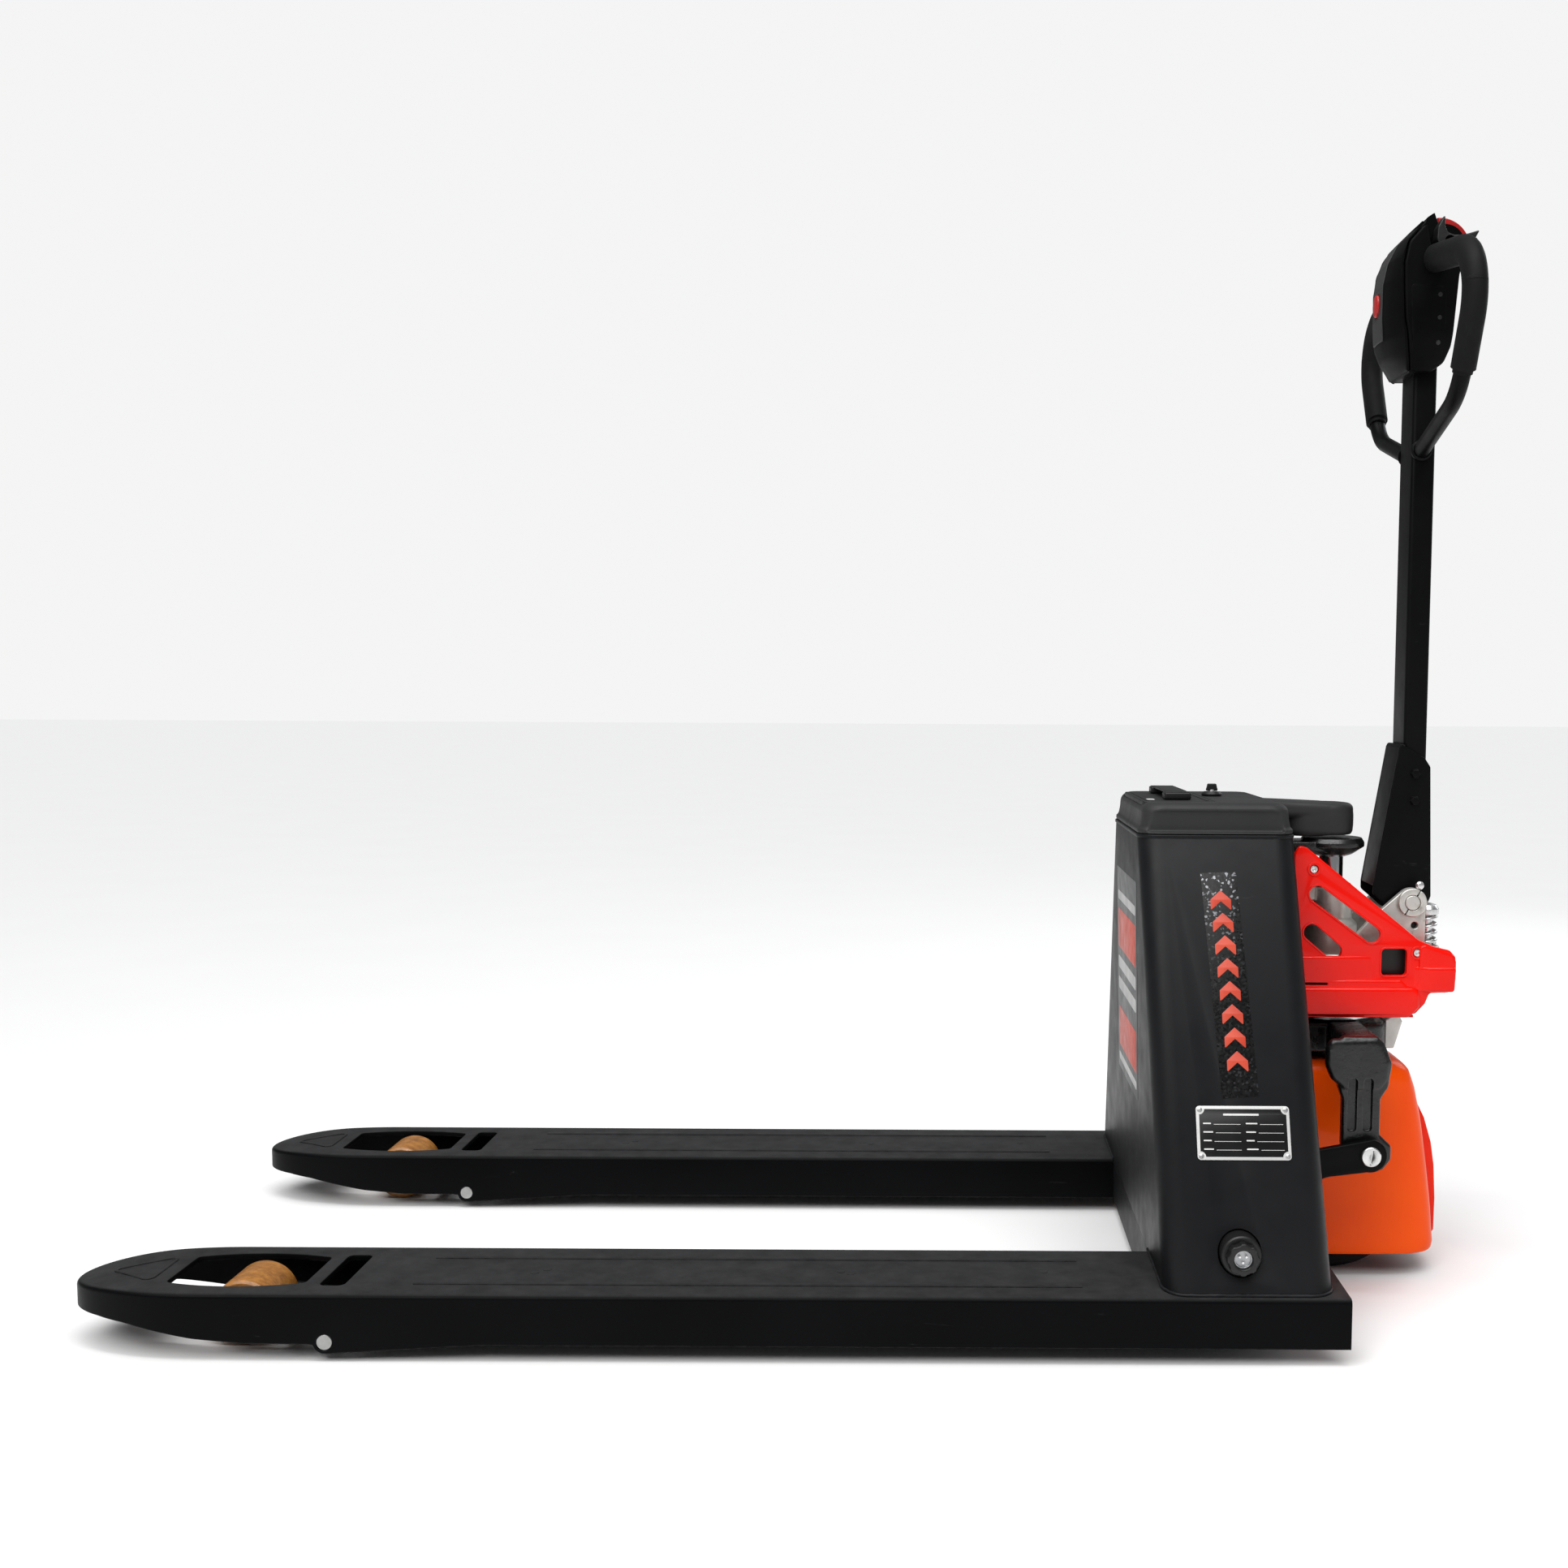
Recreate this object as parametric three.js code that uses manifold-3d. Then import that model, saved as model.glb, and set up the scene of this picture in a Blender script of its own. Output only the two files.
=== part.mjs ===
// Electric pallet truck. Millimetres, +Z up, floor at z = 0.
// Forks point to -X, the tiller stands at +X, the left side of the truck is -Y.
// All shapes are drawn from the rear end of the fork frame (x = 0) and the whole
// truck is moved at the end so that the middle of its length is at x = 0.
import * as THREE from 'three';
import { mergeVertices } from 'three/addons/utils/BufferGeometryUtils.js';
import Module from 'manifold-3d';

const wasm = await Module();
wasm.setup();

// ---------------------------------------------------------------- dimensions
const TIP_X = -1420;              // nose of the forks
const REAR_X = 200.5;             // rearmost surface, the belly button
const GAP = 0.3;                  // clearance kept between neighbouring pieces
const OVER = 5;                   // how far a cutter runs past the face it opens

// Forks
const FORK_CENTRE = 264.25;
const FORK_WIDTH = 156.5;
const FORK_TOP = 75;
const FORK_BOTTOM = 19.2;
const FORK_SHEET = 5;
const FORK_TOP_SHEET = 6;
const SEAT = 0.5;                 // depth of the step in the forks that the battery box stands on
const NOSE_START = -1250;
const NOSE_POWER = 2.3;

// Fork linkage
const PIVOT = { x: -1117, z: 22, r: 9 };
const AXLE = { x: -1224, z: 37, r: 9 };
const ROLLER = { r: 37, half: 35 };
const LINK_ARM = 36;
const LINK_ANGLE = THREE.MathUtils.degToRad(38);
const LINK = {
  x: PIVOT.x + LINK_ARM * Math.sin(LINK_ANGLE),
  z: PIVOT.z + LINK_ARM * Math.cos(LINK_ANGLE),
  r: 5,
};

// Rocker, the lever between the yoke and the push rods
const SHAFT = { x: -95, z: 120, r: 15, half: 290 };
const YOKE_PIN = { x: 62, z: 185, r: 8 };
const FOOT_ARM = 66.2;
const FOOT_ANGLE = THREE.MathUtils.degToRad(19.8);
const FOOT = {
  x: SHAFT.x + FOOT_ARM * Math.sin(FOOT_ANGLE),
  z: SHAFT.z - FOOT_ARM * Math.cos(FOOT_ANGLE),
  r: 5,
};

// Battery box and top cover
const BOX = {
  halfBottom: 335, halfTop: 139, bottom: FORK_TOP - SEAT + GAP, top: 563,
  front: -202, rear: -15, lean: -11, corner: 28, wall: 3,
};
const COVER_TOP = 600;
const HATCH = { front: -205, rear: -116, half: 98 };

// Steering axis, shared by the ram, the yoke ring and the drive wheel
const STEER_X = 49;
const RING_BOTTOM = 285;
const RING_TOP = 325;
const NECK_R = 37.2;
const WHEEL = { z: 105, r: 105, half: 35, rim: 86 };

// Tiller
const TILLER = { x: 139.5, z: 472, pin: 9.5 };
const TUBE = { front: 130, rear: 159, half: 27, wall: 3, bottom: 560, top: 1150 };
const EAR = { inner: 36, outer: 46 };
const SCREW = { x: 136, z: 415 };
const PLUNGER = { x: 172, cap: 15.5, rod: 8, boss: 17.5, seat: 412 };

// Control head
const HEAD_HALF = 62;
const BARREL = { x: 158.5, z: 1274, r: 14, housing: 40, half: 40 };
const LOOP = { x: 141, tube: 10, grip: 17 };

// ---------------------------------------------------------------- helpers
const materials = {
  frame: ['#2b2d30', 0.55, 0.3],
  plastic: ['#222325', 0.7, 0.0],
  red: ['#e01b10', 0.3, 0.0],
  orange: ['#f25a06', 0.4, 0.0],
  cast: ['#b9b8b0', 0.45, 0.8],
  steel: ['#c6c8ca', 0.3, 0.9],
  black: ['#151617', 0.5, 0.2],
  amber: ['#b8742c', 0.45, 0.0],
  rubber: ['#1b1b1c', 0.9, 0.0],
  button: ['#a01518', 0.35, 0.0],
  grey: ['#77787a', 0.6, 0.0],
  battery: ['#30343a', 0.6, 0.0],
  alloy: ['#9aa0a6', 0.45, 0.7],
};

function solid(geometry) {
  const g = geometry.clone();
  g.deleteAttribute('normal');
  g.deleteAttribute('uv');
  const merged = mergeVertices(g, 1e-4);
  const mesh = new wasm.Mesh({
    numProp: 3,
    vertProperties: new Float32Array(merged.attributes.position.array),
    triVerts: new Uint32Array(merged.index.array),
  });
  return new wasm.Manifold(mesh);
}

function toGeometry(manifold) {
  const out = manifold.getMesh();
  const g = new THREE.BufferGeometry();
  g.setAttribute('position', new THREE.BufferAttribute(new Float32Array(out.vertProperties), 3));
  g.setIndex(new THREE.BufferAttribute(new Uint32Array(out.triVerts), 1));
  g.computeVertexNormals();
  return g;
}

const union = (...parts) => parts.reduce((sum, part) => sum.add(part));
const cut = (body, ...tools) => tools.reduce((rest, tool) => rest.subtract(tool), body);

function polygon(points) {
  return new THREE.Shape(points.map(([u, v]) => new THREE.Vector2(u, v)));
}

function addCircleHole(shape, u, v, r) {
  const hole = new THREE.Path();
  hole.absarc(u, v, r, 0, Math.PI * 2, true);
  shape.holes.push(hole);
}

// Outline of a bar with a round end of its own radius at each of two centres
function taperedBar(a, ra, b, rb) {
  const dx = b.x - a.x;
  const dz = b.z - a.z;
  const along = Math.atan2(dz, dx);
  const spread = Math.acos((ra - rb) / Math.hypot(dx, dz));
  const shape = new THREE.Shape();
  shape.absarc(a.x, a.z, ra, along + spread, along - spread + Math.PI * 2, false);
  shape.absarc(b.x, b.z, rb, along - spread, along + spread, false);
  return shape;
}

// Outline drawn in x and z, given thickness from y0 to y1
function sideways(shape, y0, y1, segments = 5) {
  const g = new THREE.ExtrudeGeometry(shape, { depth: y1 - y0, bevelEnabled: false, curveSegments: segments });
  g.rotateX(Math.PI / 2);
  g.translate(0, y1, 0);
  return solid(g);
}

// Outline drawn in x and y, given height from z0 to z1, with an optional rounded top edge
function upright(shape, z0, z1, segments = 3, round = 0) {
  const bevel = { bevelEnabled: round > 0, bevelSize: round, bevelOffset: -round, bevelThickness: round, bevelSegments: 2 };
  const g = new THREE.ExtrudeGeometry(shape, { depth: z1 - z0 - 2 * round, curveSegments: segments, ...bevel });
  g.translate(0, 0, z0 + round);
  return solid(g);
}

// Outline drawn in y and z, given length from x0 to x1
function lengthways(shape, x0, x1, segments = 3, round = 0) {
  const bevel = { bevelEnabled: round > 0, bevelSize: round, bevelOffset: -round, bevelThickness: round, bevelSegments: 3 };
  const g = new THREE.ExtrudeGeometry(shape, { depth: x1 - x0 - 2 * round, curveSegments: segments, ...bevel });
  g.translate(0, 0, x0 + round);
  const turn = new THREE.Matrix4().makeBasis(
    new THREE.Vector3(0, 1, 0), new THREE.Vector3(0, 0, 1), new THREE.Vector3(1, 0, 0));
  g.applyMatrix4(turn);
  return solid(g);
}

function block(x0, x1, y0, y1, z0, z1) {
  const g = new THREE.BoxGeometry(x1 - x0, y1 - y0, z1 - z0);
  g.translate((x0 + x1) / 2, (y0 + y1) / 2, (z0 + z1) / 2);
  return solid(g);
}

function roundedRect(u0, u1, v0, v1, r) {
  const s = new THREE.Shape();
  s.moveTo(u0 + r, v0);
  s.lineTo(u1 - r, v0);
  s.absarc(u1 - r, v0 + r, r, -Math.PI / 2, 0, false);
  s.absarc(u1 - r, v1 - r, r, 0, Math.PI / 2, false);
  s.absarc(u0 + r, v1 - r, r, Math.PI / 2, Math.PI, false);
  s.absarc(u0 + r, v0 + r, r, Math.PI, Math.PI * 1.5, false);
  return s;
}

// Round bar along Y between y0 and y1
function crossBar(x, z, r, y0, y1, segments = 14) {
  const g = new THREE.CylinderGeometry(r, r, y1 - y0, segments);
  g.translate(x, (y0 + y1) / 2, z);
  return solid(g);
}

// Round bar along Z between z0 and z1
function post(x, y, r, z0, z1, segments = 20) {
  const g = new THREE.CylinderGeometry(r, r, z1 - z0, segments);
  g.rotateX(Math.PI / 2);
  g.translate(x, y, (z0 + z1) / 2);
  return solid(g);
}

// Turned piece: closed profile of [radius, height] pairs, listed with the axis on its left,
// laid along Y or standing along Z
function turned(profile, x, z, along = 'y', segments = 20) {
  const points = profile.map(([r, h]) => new THREE.Vector2(r, h));
  points.push(points[0].clone());
  const g = new THREE.LatheGeometry(points, segments);
  if (along === 'z') {
    g.rotateX(Math.PI / 2);
    g.translate(x, 0, z);
  } else {
    g.translate(x, 0, z);
  }
  return solid(g);
}

function mesh(name, body, look) {
  const [color, roughness, metalness] = materials[look];
  const material = new THREE.MeshStandardMaterial({ color, roughness, metalness });
  const m = new THREE.Mesh(toGeometry(body), material);
  m.name = name;
  return m;
}

const sides = [['left', -1], ['right', 1]];
const truck = new THREE.Group();
truck.name = 'pallet_truck';
truck.position.x = -(TIP_X + REAR_X) / 2;

function group(name) {
  const g = new THREE.Group();
  g.name = name;
  truck.add(g);
  return g;
}

const carriage = group('carriage');
const steering = group('steering');
const forkFrame = group('fork_frame');
const rocker = group('rocker');
const linkage = group('linkage');
const tiller = group('tiller');

// ---------------------------------------------------------------- forks
// Plan of one fork around its own centre line, with the walls moved in by `inset`
function forkPlan(inset, rearX) {
  const half = FORK_WIDTH / 2 - inset;
  const tip = TIP_X + inset;
  const steps = 8;
  const points = [[rearX, -half], [rearX, half]];
  for (let i = 0; i <= 2 * steps; i += 1) {
    const a = (i / steps) * (Math.PI / 2);
    const reach = Math.sin(a) ** (2 / NOSE_POWER);
    const y = half * Math.cos(a);
    points.push([NOSE_START + (tip - NOSE_START) * Math.abs(reach), y]);
  }
  return polygon(points);
}

// Side view of a fork: the lug around the pivot pin hangs below the channel
function forkSide() {
  const lug = 13;
  const s = new THREE.Shape();
  s.moveTo(OVER, FORK_BOTTOM);
  s.lineTo(OVER, FORK_TOP + OVER);
  s.lineTo(TIP_X - OVER, FORK_TOP + OVER);
  s.lineTo(TIP_X - OVER, 42);
  s.lineTo(-1376, 42);
  s.lineTo(-1340, 39);
  s.lineTo(-1302, 32);
  s.lineTo(-1262, 25);
  s.lineTo(-1205, 20);
  s.lineTo(PIVOT.x - lug - 6, 19.6);
  s.absarc(PIVOT.x, PIVOT.z, lug, Math.PI * 1.08, Math.PI * 1.53, false);
  s.lineTo(-950, FORK_BOTTOM);
  return s;
}

function rollerWindow() {
  const s = new THREE.Shape();
  s.moveTo(-1151, -40);
  s.lineTo(-1151, 40);
  s.quadraticCurveTo(-1190, 52, -1228, 52);
  s.quadraticCurveTo(-1266, 52, -1305, 40);
  s.lineTo(-1305, -40);
  s.quadraticCurveTo(-1266, -52, -1228, -52);
  s.quadraticCurveTo(-1190, -52, -1151, -40);
  return s;
}

function makeFork() {
  const outer = upright(forkPlan(0, 0), 0, FORK_TOP, 1, 6);
  const inner = upright(forkPlan(FORK_SHEET, OVER), -OVER, FORK_TOP - FORK_TOP_SHEET);
  const body = outer.intersect(sideways(forkSide(), -FORK_WIDTH, FORK_WIDTH, 4));
  return cut(
    body,
    inner,
    upright(rollerWindow(), FORK_TOP - 20, FORK_TOP + OVER, 4),
    block(-1133, -1106, -48, 48, FORK_TOP - 20, FORK_TOP + OVER),
    block(-136, -52, -20, 20, FORK_TOP - 20, FORK_TOP + OVER),
    block(BOX.front - GAP, OVER, -FORK_WIDTH, FORK_WIDTH, FORK_TOP - SEAT, FORK_TOP + OVER),
    crossBar(PIVOT.x, PIVOT.z, PIVOT.r + GAP, -FORK_WIDTH, FORK_WIDTH),
  );
}

for (const [side, sign] of sides) {
  const y = sign * FORK_CENTRE;
  forkFrame.add(mesh(`fork_${side}`, makeFork().translate([0, y, 0]), 'frame'));
  const pin = crossBar(PIVOT.x, PIVOT.z, PIVOT.r, -FORK_WIDTH / 2 + 0.2, FORK_WIDTH / 2 - 0.2);
  forkFrame.add(mesh(`fork_pin_${side}`, pin.translate([0, y, 0]), 'steel'));
}

const forkInnerSide = FORK_CENTRE - FORK_WIDTH / 2;
forkFrame.add(mesh(
  'cross_plate',
  block(BOX.front, BOX.front + 8, -forkInnerSide + GAP, forkInnerSide - GAP, FORK_BOTTOM, BOX.bottom - GAP),
  'frame',
));

// ---------------------------------------------------------------- load rollers
for (const [side, sign] of sides) {
  const y = sign * FORK_CENTRE;
  const plate = { inner: 38, outer: 45 };
  const cheeks = [-1, 1].map((s) => {
    const y0 = Math.min(s * plate.inner, s * plate.outer);
    const y1 = Math.max(s * plate.inner, s * plate.outer);
    return union(
      sideways(taperedBar(PIVOT, 12.5, AXLE, 13), y0, y1, 4),
      sideways(taperedBar(PIVOT, 12.5, LINK, 8), y0, y1, 3),
    );
  });
  const web = block(-1178, -1150, -plate.inner - 2, plate.inner + 2, 17, 42);
  const body = cut(
    union(
      ...cheeks,
      web,
      crossBar(AXLE.x, AXLE.z, AXLE.r, -plate.outer - 3, plate.outer + 3),
      crossBar(LINK.x, LINK.z, LINK.r, -plate.outer, plate.outer),
    ),
    crossBar(PIVOT.x, PIVOT.z, PIVOT.r + GAP, -60, 60),
  );
  linkage.add(mesh(`roller_bracket_${side}`, body.translate([0, y, 0]), 'frame'));

  const half = ROLLER.half;
  const bore = AXLE.r + GAP;
  const profile = [
    [bore, -half + 3], [22, -half + 3], [24, -half], [ROLLER.r - 3, -half], [ROLLER.r, -half + 3],
    [ROLLER.r, half - 3], [ROLLER.r - 3, half], [24, half], [22, half - 3], [bore, half - 3],
  ];
  linkage.add(mesh(`load_roller_${side}`, turned(profile, AXLE.x, AXLE.z, 'y', 20).translate([0, y, 0]), 'amber'));
}

// Push rods: flat bars with an upright oval eye at both ends
for (const [side, sign] of sides) {
  const y = sign * FORK_CENTRE;
  const rear = { x: FOOT.x, z: FOOT.z - 1.9 };
  const front = { x: LINK.x, z: LINK.z + 3.8 };
  const eye = (at, half, r) => sideways(taperedBar({ x: at.x, z: at.z - half }, r, { x: at.x, z: at.z + half }, r), -5, 5, 5);
  const hole = (at, half, r) => sideways(
    taperedBar({ x: at.x, z: at.z - half }, r, { x: at.x, z: at.z + half }, r), -6, 6, 5);
  const bar = sideways(taperedBar({ x: rear.x - 10, z: 55 }, 9, { x: front.x + 10, z: 54.5 }, 9), -5, 5, 4);
  const body = cut(
    union(bar, eye(rear, 2.6, 9.4), eye(front, 4.3, 9)),
    hole(rear, 2.6, 5.9),
    hole(front, 4.3, 5.9),
  );
  linkage.add(mesh(`push_rod_${side}`, body.translate([0, y, 0]), 'frame'));
}

// ---------------------------------------------------------------- rocker
const foot = (sign) => {
  const y = sign * FORK_CENTRE;
  const arm = sideways(taperedBar(SHAFT, 24, FOOT, 9.4), 5.6, 15.6, 4);
  const pin = crossBar(FOOT.x, FOOT.z, FOOT.r, -8, 7);
  return union(arm, pin).translate([0, y, 0]);
};
rocker.add(mesh(
  'rocker_shaft',
  union(crossBar(SHAFT.x, SHAFT.z, SHAFT.r, -SHAFT.half, SHAFT.half, 20), foot(-1), foot(1)),
  'frame',
));
const ARM = { inner: 163, outer: 173 };
for (const [side, sign] of sides) {
  const y0 = Math.min(sign * ARM.inner, sign * ARM.outer);
  const y1 = Math.max(sign * ARM.inner, sign * ARM.outer);
  const shape = taperedBar(SHAFT, 27, YOKE_PIN, 20);
  addCircleHole(shape, SHAFT.x, SHAFT.z, SHAFT.r + 3 * GAP);
  addCircleHole(shape, YOKE_PIN.x, YOKE_PIN.z, YOKE_PIN.r + 2 * GAP);
  rocker.add(mesh(`rocker_arm_${side}`, sideways(shape, y0, y1, 6), 'frame'));
  const pinProfile = [
    [0, 143.2], [YOKE_PIN.r, 143.2], [YOKE_PIN.r, ARM.outer + GAP], [11.8, ARM.outer + GAP],
    [11.8, 176], [10.8, 177], [0, 177],
  ];
  const pin = turned(pinProfile, 0, 0, 'y', 20);
  const placed = sign > 0 ? pin : pin.rotate([180, 0, 0]);
  rocker.add(mesh(`yoke_pin_${side}`, placed.translate([YOKE_PIN.x, 0, YOKE_PIN.z]), 'steel'));
}

// ---------------------------------------------------------------- battery box
// Tapered body: a trapezium seen from the front, slightly leaning to the forks
function boxBody(inset, bottom, top) {
  const slope = (BOX.halfTop - BOX.halfBottom) / (BOX.top - BOX.bottom);
  const half = (z) => BOX.halfBottom - inset + slope * (z - BOX.bottom);
  const low = BOX.bottom - 60;
  const high = BOX.top + 60;
  const front = polygon([[-half(low), low], [half(low), low], [half(high), high], [-half(high), high]]);
  const body = lengthways(front, BOX.front + inset, BOX.rear - inset, 8, BOX.corner - inset);
  const lean = BOX.lean / (BOX.top - BOX.bottom);
  const sheared = body.transform([1, 0, 0, 0, 0, 1, 0, 0, lean, 0, 1, 0, -lean * BOX.bottom, 0, 0, 1]);
  return sheared.intersect(block(-400, 200, -400, 400, bottom, top));
}

// Room left at the rear of the box for the turning drive unit, pump and lid bar
function recess(grow) {
  const rear = 60;
  return union(
    block(-135 - grow, rear, -184 - grow, 184 + grow, 0, 300 + grow),
    upright(roundedRect(-100 - grow, rear, -152 - grow, 152 + grow, 30), 200, 440 + grow, 2),
    upright(roundedRect(-66 - grow, rear, -118 - grow, 118 + grow, 30), 300, 700, 2),
  );
}

const SOCKET = { x: -118.5, z: 118, r: 22.5 };
const boxInner = boxBody(BOX.wall, BOX.bottom + BOX.wall, BOX.top + OVER).subtract(recess(BOX.wall));
const footSlots = [-1, 1].map((s) => block(
  -138, -50, s * FORK_CENTRE - 22, s * FORK_CENTRE + 22, BOX.bottom - OVER, BOX.bottom + 2 * OVER));
forkFrame.add(mesh(
  'battery_box',
  cut(
    boxBody(0, BOX.bottom, BOX.top),
    recess(0),
    boxInner,
    ...footSlots,
    crossBar(SHAFT.x, SHAFT.z, SHAFT.r + 1, -SHAFT.half + 60, SHAFT.half - 60, 20),
    crossBar(SOCKET.x, SOCKET.z, SOCKET.r + 2, -345, -290, 20),
  ),
  'frame',
));

forkFrame.add(mesh('controller', block(-196, -150, -120, 120, 100, 270), 'alloy'));

// Top cover with the tongue and round nose that hide the lid bar
const NOSE = { x: 41, r: 34, bottom: 551, top: 595 };
const KEY = { x: -101.4, y: 20 };
function coverBody(inset, bottom, topDrop) {
  const top = COVER_TOP - topDrop;
  const main = roundedRect(BOX.front + BOX.lean + inset, -26 - inset, -BOX.halfTop + inset, BOX.halfTop - inset, 26 - inset);
  const body = upright(main, BOX.top + GAP - bottom, top, 2, bottom ? 0 : 9);
  const tongueHalf = NOSE.r - inset;
  const tongue = block(-60, NOSE.x, -tongueHalf, tongueHalf, 576 - bottom, NOSE.top - topDrop);
  const nose = turned([
    [0, NOSE.bottom - bottom], [tongueHalf - 5, NOSE.bottom - bottom], [tongueHalf, NOSE.bottom + 8],
    [tongueHalf, NOSE.top - topDrop - 8], [tongueHalf - 8, NOSE.top - topDrop], [0, NOSE.top - topDrop],
  ], 0, 0, 'y', 20).rotate([90, 0, 0]).translate([NOSE.x, 0, 0]);
  return union(body, tongue, nose);
}
forkFrame.add(mesh(
  'top_cover',
  cut(
    coverBody(0, 0, 0),
    coverBody(3, 4, 4),
    block(HATCH.front - GAP, HATCH.rear + GAP, -HATCH.half - GAP, HATCH.half + GAP, 570, COVER_TOP + OVER),
    post(KEY.x, KEY.y, 9 + GAP, 570, COVER_TOP + OVER, 24),
  ),
  'plastic',
));

// Key switch in the top cover
const bezel = turned([[4.3, 584], [8.7, 584], [9, COVER_TOP + GAP], [13, COVER_TOP + GAP], [13, 604], [11, 606], [4.3, 606]], 0, 0, 'y', 20)
  .rotate([90, 0, 0]).translate([KEY.x, KEY.y, 0]);
forkFrame.add(mesh('key_bezel', bezel, 'black'));
const key = union(post(KEY.x, KEY.y, 4, 590, 608, 16), block(KEY.x - 8, KEY.x + 8, KEY.y - 3, KEY.y + 3, 607, 616));
forkFrame.add(mesh('key', key, 'black'));

// Battery pack: lifts out through the top cover by its strap handle
const battery = union(
  block(HATCH.front + 3, HATCH.rear - 3, -HATCH.half + 3, HATCH.half - 3, 305, COVER_TOP - 4),
  upright(roundedRect(HATCH.front, HATCH.rear, -HATCH.half, HATCH.half, 6), COVER_TOP - 12, COVER_TOP + 0.5, 1),
);
forkFrame.add(mesh('battery_pack', battery, 'battery'));
const strap = { x0: -175, x1: -142, half: 75 };
const handle = union(
  block(strap.x0, strap.x1, -strap.half, -strap.half + 24, COVER_TOP + 0.8, COVER_TOP + 10),
  block(strap.x0, strap.x1, strap.half - 24, strap.half, COVER_TOP + 0.8, COVER_TOP + 10),
  block(strap.x0 + 3, strap.x1 - 3, -strap.half + 10, strap.half - 10, COVER_TOP + 7, COVER_TOP + 11),
);
forkFrame.add(mesh('battery_handle', handle, 'rubber'));

// Charging socket: a horizontal barrel let into the sloping left wall
const socket = (r0, r1, y0, y1) => turned([[r0, y0], [r1, y0], [r1, y1], [r0, y1]], SOCKET.x, SOCKET.z, 'y', 20);
forkFrame.add(mesh('socket_body', socket(10.3, SOCKET.r, -329, -300), 'black'));
forkFrame.add(mesh('socket_ring', socket(10.3, 18, -341.5, -329 - GAP), 'black'));
forkFrame.add(mesh('socket_core', crossBar(SOCKET.x, SOCKET.z, 10, -338, -302), 'steel'));

// Data plate on the sloping left wall
const PLATE = { x: -108, z: 239, length: 105, height: 60, thick: 1 };
const wallSlope = Math.atan((BOX.halfBottom - BOX.halfTop) / (BOX.top - BOX.bottom));
const wallY = -(BOX.halfBottom - Math.tan(wallSlope) * (PLATE.z - BOX.bottom));
const plate = lengthways(
  polygon([[-PLATE.thick - GAP, -30], [-GAP, -30], [-GAP, 30], [-PLATE.thick - GAP, 30]]),
  -PLATE.length / 2, PLATE.length / 2)
  .rotate([-THREE.MathUtils.radToDeg(wallSlope), 0, 0])
  .translate([PLATE.x, wallY - 0.2, PLATE.z]);
forkFrame.add(mesh('data_plate', plate, 'steel'));

// Lid bar carried by the ram, and the ram itself
const RAM = { r: 15, bottom: 366, top: 542 };
const head = turned([
  [0, 526], [18, 526], [40.5, 538], [40.5, 545], [37, 550], [0, 550],
], 0, 0, 'y', 20).rotate([90, 0, 0]).translate([STEER_X, 0, 0]);
// The arm steps up before the corners of the turning side covers pass under it
const lidArm = polygon([
  [-70, 548.5], [-31, 548.5], [-26, 532], [STEER_X, 532], [STEER_X, 546], [-16, 546], [-32, 562], [-70, 562],
]);
const lidBar = cut(
  union(head, sideways(lidArm, -30, 30)),
  post(STEER_X, 0, RAM.r + GAP, 500, RAM.top + GAP, 20),
  block(-200, -66 + GAP, -60, 60, 500, 600),
);
forkFrame.add(mesh('lid_bar', lidBar, 'black'));
forkFrame.add(mesh('ram', post(STEER_X, 0, RAM.r, RAM.bottom, RAM.top, 20), 'steel'));

// ---------------------------------------------------------------- yoke
const LEG = { inner: 143, outer: 160 };
function yokeLeg(sign) {
  const y0 = Math.min(sign * LEG.inner, sign * LEG.outer);
  const y1 = Math.max(sign * LEG.inner, sign * LEG.outer);
  const leg = polygon([
    [30, RING_TOP - 8], [34, RING_TOP], [76, RING_TOP], [84, RING_TOP - 6], [100, 284], [96, 262],
    [90, 250], [90, 176], [80, 163], [56, 163], [46, 176], [46, 250], [36, 262], [33, 284],
  ]);
  const slot = taperedBar(YOKE_PIN, 9, { x: YOKE_PIN.x + 12.9, z: YOKE_PIN.z }, 9);
  return sideways(leg, y0, y1).subtract(sideways(slot, y0 - OVER, y1 + OVER, 5));
}
const yoke = cut(
  union(
    block(34, 78, -LEG.outer + 2, LEG.outer - 2, RING_BOTTOM, RING_TOP),
    upright(roundedRect(-18, 112, -62, 62, 24), RING_BOTTOM, RING_TOP - 3, 2),
    yokeLeg(-1),
    yokeLeg(1),
  ),
  post(STEER_X, 0, 42, RING_BOTTOM - OVER, RING_TOP + OVER, 24),
);
carriage.add(mesh('yoke', yoke, 'black'));
const race = turned([[NECK_R + 1, RING_TOP + GAP], [60, RING_TOP + GAP], [60, 334.8], [NECK_R + 1, 334.8]], 0, 0, 'y', 20)
  .rotate([90, 0, 0]).translate([STEER_X, 0, 0]);
carriage.add(mesh('thrust_bearing', race, 'steel'));
const stop = sideways(polygon([[112 + GAP, 286], [124, 286], [134, 320], [128, 331], [112 + GAP, 322]]), -40, 40);
carriage.add(mesh('stop_plate', stop, 'cast'));

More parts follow.
